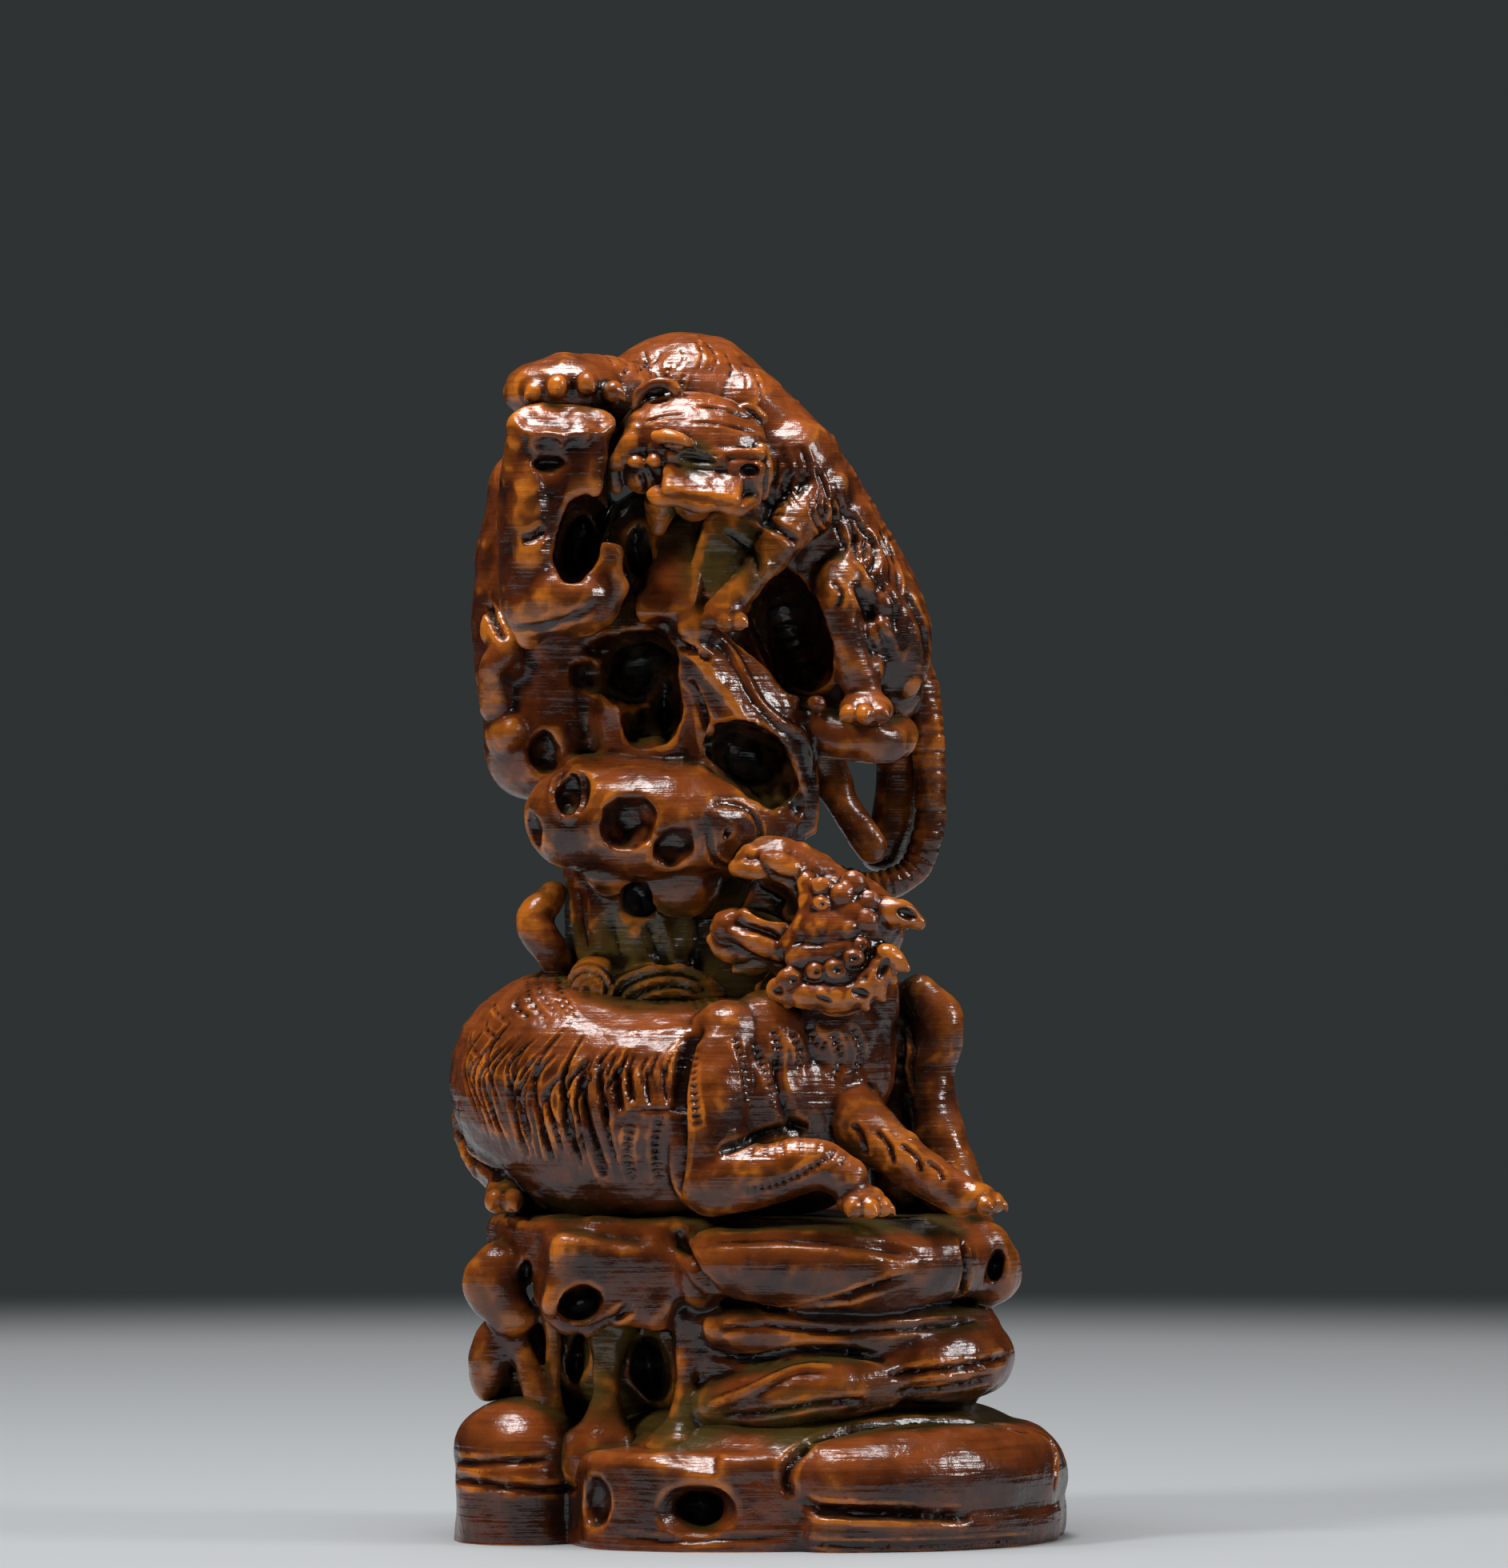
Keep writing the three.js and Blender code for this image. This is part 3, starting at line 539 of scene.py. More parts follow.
middleStone = {
    "slot": "rock_wood",
    "limbs": [[(-3.2, -12.8, 17.8, 1.8), (0.4, -13.8, 17.6, 2.1), (5, -13.2, 17.2, 2.3),
               (11, -11.4, 17, 2.5), (17.2, -5.4, 16.8, 2.6)],
              [(-3.6, -13, 11.4, 2), (0.4, -14.8, 12.2, 2.5), (5.4, -15, 12.9, 2.6),
               (9.8, -13.4, 13.4, 2.2)],
              [(8.6, -12, 14.4, 2.6), (13.4, -10.8, 14.6, 3.2), (17.2, -6.6, 15, 3.3),
               (17.6, -1.4, 15, 3)],
              [(-5.8, -11.6, 18.4, 1.7), (-6.1, -12, 14.4, 0.9), (-6.3, -12.4, 11, 1.3),
               (-6.6, -12.6, 7, 3.2)]],
}
shelf = {
    "slot": "shaded_wood",
    "stones": [([(-21.6, -5), (-15.4, -12.4), (-6, -13.6), (2, -16), (12, -13.2), (18.4, -5), (18.6, 5),
                 (12, 12.8), (4, 14.2), (-5, 16.8), (-15, 13), (-22, 5)], ledgeTop - 5.6, ledgeTop, 1.2)],
}
stoneCore = {
    "slot": "shaded_wood",
    "blobs": [((3.4, -0.5, 15.4), (16.6, 14, 9)), ((-9, 2, 15.4), (11.4, 9.6, 9))],
}
ledgeHollows = {
    "eye": ((-14.7, -15.6, 19.8), (2, 4.4, 1.6), (0, -18, 0)),
    "end": ((19.2, -8.6, 22.6), (0.9, 3, 1.6), (0, 14, 0)),
    "underRight": ((-9.3, -12.6, 14), (1.9, 9, 3.2), (0, -8, 0)),
    "underLeft": ((-15.2, -11, 14.8), (1.2, 8, 3), (0, 6, 0)),
    "slit": ((-19.3, -10, 21.6), (0.6, 4, 1.9)),
}
ledgeLines = {
    "stoneEnd": ([(846, 1536), (858, 1566), (874, 1596), (896, 1616)], 0.7, 0.8),
    "stoneUnder": ([(937, 1628), (990, 1634), (1042, 1626), (1094, 1610), (1140, 1596)], 0.6, 0.8),
    "stoneTop": ([(880, 1552), (980, 1548), (1070, 1556), (1150, 1570)], 0.8, 0.35),
    "stoneSplit": ([(1204, 1550), (1208, 1585), (1200, 1620)], 0.5, 0.8),
    "arris": ([(676, 1592), (740, 1566), (796, 1544), (816, 1572), (838, 1622)], 0.7, -0.4),
    "lip": ([(690, 1648), (722, 1664), (760, 1654), (790, 1632)], 0.6, 0.6),
    "fold": ([(890, 1690), (930, 1699), (1000, 1688), (1060, 1690), (1110, 1702)], 0.6, 0.6),
    "leaf": ([(884, 1758), (930, 1742), (990, 1713), (1042, 1708)], 0.6, -0.45),
    "leafUnder": ([(900, 1772), (950, 1768), (1020, 1756), (1080, 1750)], 0.5, 0.5),
    "knob": ([(1110, 1720), (1157, 1714), (1210, 1708), (1257, 1696)], 0.5, 0.7),
    "knobUnder": ([(1120, 1740), (1180, 1736), (1240, 1722)], 0.45, 0.4),
    "upperFold": ([(900, 1662), (960, 1656), (1040, 1664), (1130, 1660), (1220, 1650)], 0.5, 0.5),
}
ledgeParts = {
    "ledge_left_knob": rock(leftKnob), "ledge_left_stone": rock(leftStone),
    "ledge_right_stone": rock(ledgeStone), "stone_left_column": rock(leftColumn),
    "stone_inner_post": rock(innerPost), "stone_middle_right": rock(middleStone),
    "ledge_shelf": rock(shelf), "stone_core": rock(stoneCore),
}
carveFamily("ledge", ledgeParts, {
    "voxel": 0.28, "soften": 5, "swell": (3.2, 0.55), "gouge": (4, 0.2), "rub": 3, "ragged": (2.6, 0.8),
    "hollows": hollows(ledgeHollows), "lines": ledgeLines,
})

# standing rock
spurRight = {
    "slot": "rock_wood",
    "limbs": [[(13, -1.6, 45, 1.6), (14.6, -1.6, 42.4, 2.2), (13.9, -2.4, 38, 2), (14.6, -3.4, 33, 2.4),
               (15.6, -4.6, 29, 2.8)]],
    "blobs": [((11.6, 0.4, 37), (3, 3, 9)), ((12.4, -1.4, 30), (3.6, 3.6, 4))],
}
perchSpur = {
    "slot": "rock_wood",
    "limbs": [[(3, -2, 67.4, 2.4), (6.4, -4.2, 66.2, 2), (9.4, -4.6, 65.8, 1.9), (11, -2.4, 66, 2)]],
    "blobs": [((3.2, -5.8, 70), (0.9, 0.9, 0.8)), ((4.6, -6, 68.8), (0.8, 0.8, 0.9)),
              ((2.4, -5.4, 68.6), (0.8, 0.8, 0.7))],
}
strut = {
    "slot": "rock_wood",
    "limbs": [[(4.6, 1.6, 65, 2), (6.6, 1.2, 61, 1.5), (9.2, 0.6, 57, 1.4)],
              [(11.4, 5.6, 69, 2.4), (11.4, 5.2, 62, 1.8), (10, 4.6, 56.6, 1.8)]],
}
piercedColumn = {
    "slot": "rock_wood",
    "slabs": [([(-20.2, 92.6), (-21, 89.4), (-21.4, 85), (-21.3, 80.6), (-20.9, 76.6), (-19.8, 74.6),
                (-17, 74.2), (-13.8, 75.2), (-11.4, 77.2), (-10.8, 80), (-11.4, 84), (-12.2, 87.6),
                (-12.8, 91.8), (-16.4, 93.4)],
               -11.6, -4.6, 2.4)],
    "blobs": [((-19, -8.8, 82.6), (2.7, 3.8, 9.4)), ((-16.4, -9, 77.2), (5, 4, 3.2)),
              ((-16.4, -9.6, 91.6), (4.6, 3.4, 1.8))],
}
leftBack = {
    "slot": "rock_wood",
    "limbs": [[(-17.6, 2.4, 85.8, 5.2), (-18, 2.2, 78, 6), (-18, 1.8, 71, 5.6), (-18.2, 0.8, 65.4, 4.8)],
              [(-22, -2.4, 75.2, 1.4), (-21, -4, 73.4, 1.3), (-22.2, -3.6, 71.4, 1.3),
               (-21.8, -2.6, 68.8, 1.5)]],
    "blobs": [((-20.4, -3, 72.2), (1.2, 1.6, 1.4)), ((-20.6, -1.8, 66.4), (2.2, 3, 2))],
}
boulder = {
    "slot": "rock_wood",
    "limbs": [[(-15.4, -7, 59.4, 4), (-10.6, -8.4, 59.2, 4.5), (-5.6, -7.8, 58.9, 4.5),
               (-2.4, -5.8, 58.4, 4.2)]],
    "blocks": [((-10.2, -6, 61.8), (12, 8, 4.6), (10, 0, 4), 1),
               ((-3, -7.4, 58.6), (5, 5, 6), (0, 12, 20), 1)],
    "blobs": [((-6.6, -6.4, 54.4), (3.6, 3.4, 3.2)), ((-12, -6, 55.4), (3, 3, 2.4))],
}
rightColumn = {
    "slot": "rock_wood",
    "ridges": [[(-6.2, -5.8, 75.6, 2.6), (-4.8, -5.8, 72.3, 3.4), (-2.8, -5.6, 69.4, 4.1),
                (-0.4, -5, 65.7, 4.7), (0, -4.2, 62.5, 4.9), (0.2, -3.4, 57.8, 4.6)]],
    "limbs": [[(-5.6, -4.2, 74, 2.8), (-3.4, -3.8, 68, 4), (-0.6, -3, 60, 4.6)]],
    "blobs": [((-5.4, -6.6, 75.2), (2, 2.4, 1.8))],
}
# the curl of growth at the foot of the neck, as part rings on the photo round its centre
curl = {"centre": (735, 1238), "radii": (27, 17, 8), "from": -0.9, "to": 4.2, "marks": 9,
        "width": 0.42, "depth": -0.45}


def curlMarks(radius):
    centreX, centreY = curl["centre"]
    angles = np.linspace(curl["from"], curl["to"], curl["marks"])
    return [(centreX + radius * math.cos(a), centreY - radius * math.sin(a)) for a in angles]


neck = {
    "slot": "shaded_wood",
    "limbs": [[(-10.4, 0.8, 55, 6), (-10.6, 0.4, 49, 5.7), (-10.4, 1, 43, 6.4)]],
    "blobs": [((-2, 4, 46), (8.4, 7, 11)), ((-9, -5.6, 44.6), (6.4, 2.4, 3)),
              ((-13.8, -6, 45.8), (2.2, 2.2, 2.2))],
}
rockCore = {
    "slot": "shaded_wood",
    "limbs": [[(-7, 1.6, 80, 7.4), (-7.4, 2.6, 72, 9), (-6.6, 3.4, 64, 9), (-5.4, 3.6, 56.6, 8)]],
    "blobs": [((-7.2, -3.6, 77), (3.6, 4, 2.6))],
    "blocks": [((-7.2, -5.4, 77.6), (5.4, 5.2, 3.6), (62, 0, -18), 0.5)],
}
rockHollows = {
    "oval": ((-14.9, -9, 82.2), (2.1, 9, 4.1), (0, 14, 0)),
    "ovalTop": ((-11.4, -9.4, 86), (1.9, 6, 4.6), (0, 8, 0)),
    "gapLow": ((-10.2, -8.4, 81.4), (1.3, 6, 3.6)),
    "thumb": ((-17.4, -12.6, 88.4), (1.7, 2.2, 0.9)),
    "cave": ((-10.2, -5.4, 71.8), (3.7, 7, 3.1), (0, -24, 0)),
    "caveTop": ((-12.2, -6.6, 73), (3.8, 5, 1.6), (0, 10, 0)),
    "caveLeft": ((-14.4, -6, 71.2), (1.9, 5, 1.6), (0, 14, 0)),
    "caveLow": ((-9.4, -6.4, 67.4), (2.3, 4.6, 2.3), (0, -20, 0)),
    "caveRight": ((-8, -6.6, 68.8), (1.4, 7, 3.6)),
    "bellyGap": ((2.5, -4.4, 74.4), (3.1, 8, 5.6), (0, -20, 0)),
    "scoop": ((-0.8, -8, 64.2), (4.2, 6, 2.7), (0, 34, 0)),
    "scoopLow": ((0.8, -8, 62.2), (2.4, 5, 2)),
    "scoopSmall": ((3.4, -7, 60.2), (1.2, 2.4, 1.5)),
    "boulderLeft": ((-15.6, -11, 61.6), (1.5, 1.9, 2.2), (0, 24, 0)),
    "boulderBig": ((-10.9, -13.2, 58.9), (2.4, 3.2, 2.5), (0, 10, 0)),
    "boulderRight": ((-7, -12.5, 56.7), (2, 2.1, 2)),
    "boulderSide": ((-19, -9.4, 58), (1, 2, 2.2)),
    "columnFoot": ((-17.8, -4.6, 64.6), (1.6, 2.3, 2.1)),
    "neckTop": ((-10.2, -6.2, 53), (1.9, 2.8, 1.7), (0, 20, 0)),
    "backA": ((-12, 12, 78), (3.4, 4, 4.4), (0, 20, 0)),
    "backB": ((-4, 12.6, 66), (3, 3.6, 2.6)),
    "backC": ((-14, 9, 64), (2.2, 3, 3)),
}
rockPlanes = {
    "perch": ((-16.4, -12.7, 94.4), (15, 6, 6), (42, 0, 4), 0.3),
    "patch": ((-2.6, -14, 58.8), (5.6, 4, 6.4), (0, 0, 8), 0.3),
}
rockLines = {
    "creaseFront": ([(652, 676), (668, 670), (682, 662)], 0.6, 0.5),
    "footEdge": ([(640, 786), (680, 782), (720, 770), (752, 752)], 0.7, 0.3),
    "dripA": ([(672, 540), (668, 556), (676, 566)], 0.6, -0.4),
    "dripB": ([(706, 542), (700, 562)], 0.5, -0.4),
    "dripC": ([(736, 536), (730, 556)], 0.5, -0.35),
    "cleft": ([(610, 756), (620, 780), (630, 800)], 0.5, 0.6),
    "fluteA": ([(722, 1110), (728, 1160), (740, 1215)], 1.1, 0.3),
    "fluteB": ([(760, 1140), (770, 1175), (780, 1215)], 1.1, 0.3),
    "fluteC": ([(810, 1150), (822, 1185), (836, 1215)], 1.1, 0.35),
    "leafA": ([(758, 1258), (772, 1230), (806, 1214), (846, 1210), (884, 1222)], 0.45, -0.5),
    "leafB": ([(772, 1262), (788, 1240), (816, 1228), (850, 1226), (878, 1236)], 0.45, -0.5),
    "leafC": ([(788, 1266), (804, 1250), (826, 1242), (852, 1242), (872, 1250)], 0.45, -0.5),
    "ringRim": ([(700, 964), (690, 985), (694, 1012), (712, 1024), (728, 1008), (730, 980), (718, 962)],
                0.35, -0.35),
    "patchRim": ([(884, 1010), (908, 1004), (940, 1016), (950, 1046), (926, 1080), (892, 1072),
                  (884, 1010)], 0.35, 0.2),
    "pit": ([(906, 1040), (912, 1043)], 0.5, 0.6),
    "ridge": ([(880, 782), (915, 816), (948, 876), (980, 906), (1008, 926), (1014, 970)], 0.6, -0.4),
    "slit": ([(850, 806), (872, 816), (890, 824)], 0.5, 0.6),
    "fold": ([(862, 850), (876, 880), (884, 920), (884, 950)], 0.6, 0.5),
    "spurRim": ([(1132, 1280), (1138, 1310), (1136, 1340), (1142, 1370)], 0.4, -0.4),
    "spurFoldA": ([(1110, 1316), (1122, 1326), (1134, 1322)], 0.4, 0.35),
    "spurFoldB": ([(1106, 1334), (1120, 1346), (1134, 1342)], 0.4, 0.35),
}
for k, radius in enumerate(curl["radii"]):
    rockLines["curl" + str(k)] = (curlMarks(radius), curl["width"], curl["depth"])
rockParts = {
    "rock_spur_right": rock(spurRight), "rock_perch_spur": rock(perchSpur), "rock_strut": rock(strut),
    "rock_pierced_column": rock(piercedColumn), "rock_left_back": rock(leftBack),
    "rock_boulder": rock(boulder), "rock_right_column": rock(rightColumn), "rock_neck": rock(neck),
    "rock_core": rock(rockCore),
}
carveFamily("standingRock", rockParts, {
    "voxel": 0.26, "soften": 5, "swell": (2.8, 0.6), "gouge": (3.4, 0.24), "rub": 3, "ragged": (2, 1.1),
    "hollows": hollows(rockHollows, rockPlanes), "lines": rockLines,
})


# tigers

def headPlace(centre, forward, crown, scale):
    # a head's own frame: x to the nose, y to the tiger's left, z to the crown
    nose = Vector(forward).normalized()
    left = Vector(crown).cross(nose).normalized()
    top = nose.cross(left)
    turn = Matrix((nose, left, top)).transposed() * scale
    return Matrix.Translation(Vector(centre) * mm) @ turn.to_4x4()


def placed(forms, place):
    for form in forms:
        form.data.transform(place)
    return forms


def tigerPart(forms):
    return {"slot": "tiger_wood", "forms": forms}


def mirrored(stations, side):
    return [(x, y * side, z, radius) for x, y, z, radius in stations]


# a toe and its claw in toe radii; claw and tip are (reach, drop, thickness)
toe = {"radii": (1, 1.25, 1.05), "root": 0.5, "claw": (1, 0.2, 0.4), "tip": (1.35, 0.8, 0.2)}


def toes(pad, spots, radius):
    # toes round a pad, each with a claw curling out and down
    forms = []
    for x, y, z in spots:
        forms.append(blob((x, y, z), [share * radius for share in toe["radii"]]))
        out = Vector((x - pad[0], y - pad[1], 0)).normalized() * radius
        claw = [(x, y, z, toe["root"] * radius)]
        for reach, drop, thickness in (toe["claw"], toe["tip"]):
            claw.append((x + reach * out.x, y + reach * out.y, z - drop * radius, thickness * radius))
        forms.append(limb(claw))
    return forms


def leg(plan):
    # limbs and muscles, then a paw with its toes
    pad = plan["pad"]
    forms = [limb(line) for line in plan["lines"]] + [blob(pad, plan["padRadii"])]
    forms += [blob(*ball) for ball in plan.get("muscles", [])]
    return {"slot": "tiger_wood", "forms": forms, "fine": toes(pad, plan["toes"], plan["toeRadius"])}


# upper tiger
upperSpine = [(-4.5, 2.6, 91.4, 7), (-0.8, 3.6, 86, 7.3), (3.2, 4.2, 80, 7.2),
              (6.2, 4.2, upperRump - 0.6, 6.6)]
upperRightFore = {
    "lines": [[(-9, -1.5, perchTop + 1, 4), (-13, -3.6, perchTop + 3, 3.6),
               (-16.2, -5.4, perchTop + 3.5, 3.2)]],
    "pad": (-16.3, -5.8, perchTop + 3.5), "padRadii": (5, 3.8, 2.9), "toeRadius": 0.9,
    "toes": [(-18.6, -8.7, perchTop + 3.3), (-16.7, -9.3, perchTop + 3.8), (-14.3, -9.3, perchTop + 4),
             (-12.2, -8.6, perchTop + 3.4)],
}
upperLeftFore = {
    "lines": [[(5, -2.5, 86.5, 2.6), (2.6, -6.2, 83.4, 1.9), (0, -8.2, 80, 1.5), (-2.6, -9.4, 77, 1.4)]],
    "pad": (-3, -9.6, 76.4), "padRadii": (1.8, 1.5, 1.3), "toeRadius": 0.75,
    "toes": [(-4.2, -10.4, 75.7), (-3, -10.9, 75.4), (-1.8, -10.7, 75.5)],
}
upperLeftHind = {
    "lines": [[(7.6, -2.8, upperRump + 4.8, 3.2), (6.4, -4.8, upperRump + 4, 2.2),
               (7, -5.4, upperRump - 0.6, 1.8), (8.4, -5.2, upperRump - 4.2, 1.6)]],
    "muscles": [((9.4, -1, upperRump + 1.2), (4.6, 4.2, 6.6), (0, -14, 0)),
                ((10, 0.4, upperRump - 3.4), (3.4, 3.4, 4))],
    "pad": (8.6, -6, upperRump - 5.6), "padRadii": (2.3, 2, 1.5), "toeRadius": 0.8,
    "toes": [(7.2, -7.5, upperRump - 6), (8.5, -7.9, upperRump - 6.1), (9.8, -7.5, upperRump - 6)],
}
upperRightHind = {
    "lines": [[(-1, 12, upperRump + 4, 2.8), (-4, 13, upperRump + 1.2, 2.2),
               (-4.4, 13, upperRump - 3, 1.8)]],
    "muscles": [((1.2, 10, upperRump + 1.6), (4.2, 3.8, 6.2), (0, 20, 0))],
    "pad": (-5, 13.6, upperRump - 5), "padRadii": (2.1, 2.1, 1.5), "toeRadius": 0.8,
    "toes": [(-6.2, 15, upperRump - 5.4), (-5, 15.4, upperRump - 5.5), (-3.8, 15, upperRump - 5.4)],
}
upperTail = [(11.8, 4, upperRump - 1.2, 2.1), (13.3, 3.4, upperRump - 4.6, 1.6),
             (13.9, 3, upperRump - 10.4, 1.4), (13.7, 2.8, upperRump - 16.4, 1.35),
             (12.2, 2.4, upperRump - 19.3, 1.3), (9, 1.8, upperRump - 20.2, 1.25),
             (6.4, 1.6, upperRump - 19.6, 1.1)]
upperBody = [
    blob((-6.3, 2.6, 92.6), (7.6, 7.6, 7.2)), limb(upperSpine), blob((-1.8, -1.2, 83.6), (5.2, 5, 5.6)),
    block((-2.6, -4.8, 80.6), (6, 4.4, 7.8), (0, 18, -4), 0.8), blob((2.2, -1.4, 88), (4.6, 4.8, 5)),
    limb([(-1.6, -0.6, 92.6, 4.2), (2, -0.4, 88.4, 4.6), (5, 0.6, 83, 5), (8.4, 1.4, 77, 5)]),
]
thighBumps = [(6.5, -5, 76), (8.2, -5, 78.8), (10.2, -4.6, 77.2), (11.3, -3.6, 73.9), (9, -5, 71.6),
              (12, -2.6, 70.6), (9.4, -5.1, 74.8)]
upperLeftHind["muscles"] += [(spot, (1.2, 1, 1.3)) for spot in thighBumps]
upperStripes = [
    (upperSpine, {"from": 0.02, "to": 0.98, "gap": 0.055, "angles": (-45, -140), "width": 0.45,
                  "depth": 0.28, "lean": 0.12}),
    (upperSpine, {"from": 0.05, "to": 0.98, "gap": 0.035, "angles": (-40, 40), "width": 0.3,
                  "depth": 0.16, "rungs": 0.7}),
    (upperRightFore["lines"][0], {"from": 0.1, "to": 0.7, "gap": 0.1, "angles": (-60, 80), "width": 0.28,
                                  "depth": 0.14, "rungs": 0.6}),
    (upperLeftFore["lines"][0], {"from": 0.1, "to": 0.9, "gap": 0.07, "angles": (-20, 140), "width": 0.28,
                                 "depth": 0.16, "rungs": 0.5}),
    (upperLeftHind["lines"][0], {"from": 0.35, "to": 0.98, "gap": 0.12, "angles": (-40, 60),
                                 "width": 0.35, "depth": 0.14}),
    (upperRightHind["lines"][0], {"from": 0.05, "to": 0.95, "gap": 0.12, "angles": (-140, 140),
                                  "width": 0.35, "depth": 0.25}),
    (upperTail, {"from": 0.08, "to": 0.99, "gap": 0.045, "angles": (-179, 179), "width": 0.26,
                 "depth": 0.14, "stray": 0}),
]
upperFans = [
    {"top": [(955, 530), (996, 542), (1036, 598), (1072, 634), (1100, 654)],
     "foot": [(962, 626), (1006, 640), (1056, 690), (1094, 730), (1130, 748)], "count": 13, "width": 0.45,
     "depth": 0.3, "bow": 9},
    {"top": [(975, 560), (1010, 580), (1050, 632), (1084, 664)],
     "foot": [(985, 640), (1020, 660), (1066, 706), (1100, 744)], "count": 7, "width": 0.3, "depth": 0.2,
     "bow": -9},
    {"top": [(780, 446), (840, 424), (890, 428), (950, 462)],
     "foot": [(770, 482), (830, 462), (900, 478), (958, 530)],
     "count": 9, "width": 0.26, "depth": 0.13, "rungs": 1.1, "bow": 8},
]
upperLines = {
    "flameA": ([(1084, 700), (1100, 730), (1118, 752), (1120, 790)], 0.7, 0.3),
    "flameB": ([(1066, 726), (1082, 760), (1106, 800), (1112, 826)], 0.7, 0.3),
    "flameC": ([(1132, 742), (1152, 780), (1160, 820)], 0.7, 0.3),
    "knee": ([(1040, 726), (1052, 742), (1046, 762)], 0.4, 0.25),
    "elbow": ([(950, 650), (984, 668), (1020, 700)], 0.6, 0.5),
    "chest": ([(905, 664), (940, 690), (950, 720)], 0.6, 0.4),
}
upperParts = {
    "upper_tiger_right_foreleg": leg(upperRightFore), "upper_tiger_left_foreleg": leg(upperLeftFore),
    "upper_tiger_left_hind_leg": leg(upperLeftHind), "upper_tiger_right_hind_leg": leg(upperRightHind),
    "upper_tiger_tail": tigerPart([limb(upperTail)]),
    "upper_tiger_body": tigerPart(upperBody),
}
upperHollows = {
    "bellyGap": ((2.5, -4.4, 74.6), (3.2, 7.4, 6), (0, -20, 0)),
}
carveFamily("upperTiger", upperParts, {
    "voxel": 0.18, "soften": 9, "swell": (2.2, 0.4), "rub": 2, "gouge": (2, 0.16),
    "hollows": hollows(upperHollows), "ragged": (2.2, 0.5), "stripes": upperStripes, "fans": upperFans,
    "lines": upperLines,
})

upperHeadPlace = headPlace((-5.1, -7.5, 88.9), (-0.032, -0.927, -0.375), (0.13, -0.371, 0.92), 1)
upperHead = [
    blob((-0.8, -0.8, 0.8), (4.8, 6.2, 4.2)),
    blob((0.6, -0.4, 2.4), (4.2, 5.6, 2.5), (0, 24, 0)),
    block((3.2, 3.7, -0.1), (3, 3.4, 4.4), (0, 6, 4), 0.8),
    limb([(0.6, -4.6, 2.2, 1.7), (2.2, -5.6, 1, 1.3), (3, -6.6, 0, 0.8)]),
    limb([(4.1, -3.8, 3, 0.5), (4.6, -2.8, 3.15, 0.8), (4.7, -1.7, 3.05, 0.65), (4.3, -0.8, 2.8, 0.3)]),
    limb([(4, 1, 2.3, 0.4), (3.9, 2.8, 2.3, 0.45), (3.4, 4.8, 2.4, 0.5)]),
    block((3.3, -0.2, 1), (2.6, 5.4, 3.2), (0, 18, 0), 0.9),
    block((5, 0.5, -0.3), (4.6, 6.6, 2), (0, 24, 0), 0.6),
    limb([(4.8, -3.6, -1.2, 0.6), (6.5, -2.8, -1.4, 0.75), (7, -1.2, -1.2, 0.55), (7, 0.4, -1.4, 0.7),
          (6.9, 1.8, -1.2, 0.55), (6.6, 3.4, -1.4, 0.75), (4.8, 4.6, -1.4, 0.6)]),
    limb([(2.4, 4.9, 2.4, 0.65), (2.9, 5.5, 0.6, 0.6), (2.6, 5.5, -1.4, 0.5)]),
    blob((1.4, 4, -1), (1.9, 1.6, 2)),
    blob((1.2, -4.4, -1.2), (1.9, 1.8, 2)),
    limb([(1.4, -6.2, 0.8, 0.9), (1.8, -6.9, -1, 0.75), (2, -6.4, -2.8, 0.5)]),
    limb([(-0.6, 2.4, 4.2, 0.5), (-0.8, 3.6, 4.7, 0.55), (-0.7, 4.7, 4, 0.5)]),
    limb([(-0.5, -5.8, 3.7, 0.4), (-0.6, -5.6, 4.8, 0.45), (-0.7, -4.4, 5.8, 0.5), (-0.6, -2.9, 5.7, 0.5),
          (-0.4, -2.2, 4.7, 0.4)]),
    blob((-1.7, -4, 4.1), (0.7, 1.7, 1.5)),
]
whiskerBumps = [(3.8, -3.6, 0.8), (3.5, -5.1, 0.3), (2.9, -6.8, -0.4)]
upperHead += [blob(spot, (0.75, 0.8, 0.6)) for spot in whiskerBumps]
upperHeadHollows = [
    blob((6, 0.2, -2.8), (1.9, 3.4, 0.7)),
    blob((5, 4.2, 1.3), (1.1, 0.9, 0.6)),
    blob((5.1, -0.2, 1.7), (1, 1.8, 0.6)),
    blob((4.6, -4.8, -0.9), (1.5, 1.9, 1)),
    blob((-0.1, -4, 4.6), (0.45, 0.9, 0.6)),
]
upperJaw = [
    limb([(0.2, 0, -2.8, 2), (2.4, 0, -2.8, 1.7)]),
    limb([(0.8, -2.4, -2.8, 1.6), (0.8, -2.6, -4.4, 1.4), (1, -2.6, -6, 0.8)]),
]
upperHeadLines = {
    "cheekLine": ([(800, 590), (806, 608), (804, 632)], 0.4, 0.3),
    "crownA": ([(872, 507), (905, 512), (940, 524)], 0.35, 0.18),
    "crownB": ([(862, 528), (900, 530), (944, 541)], 0.3, 0.15),
    "crownC": ([(846, 492), (870, 486), (900, 490)], 0.3, 0.15),
    "crownD": ([(806, 528), (830, 520), (858, 518)], 0.3, 0.15),
    "browUnder": ([(826, 556), (850, 558), (880, 568), (900, 570)], 0.3, 0.2),
}
upperHeadParts = {"upper_tiger_jaw": tigerPart(placed(upperJaw, upperHeadPlace)),
                  "upper_tiger_head": tigerPart(placed(upperHead, upperHeadPlace))}
carveFamily("upperHead", upperHeadParts, {
    "voxel": 0.13, "soften": 6, "rub": 3, "swell": (1.6, 0.3),
    "hollows": placed(upperHeadHollows, upperHeadPlace),
    "lines": upperHeadLines,
})

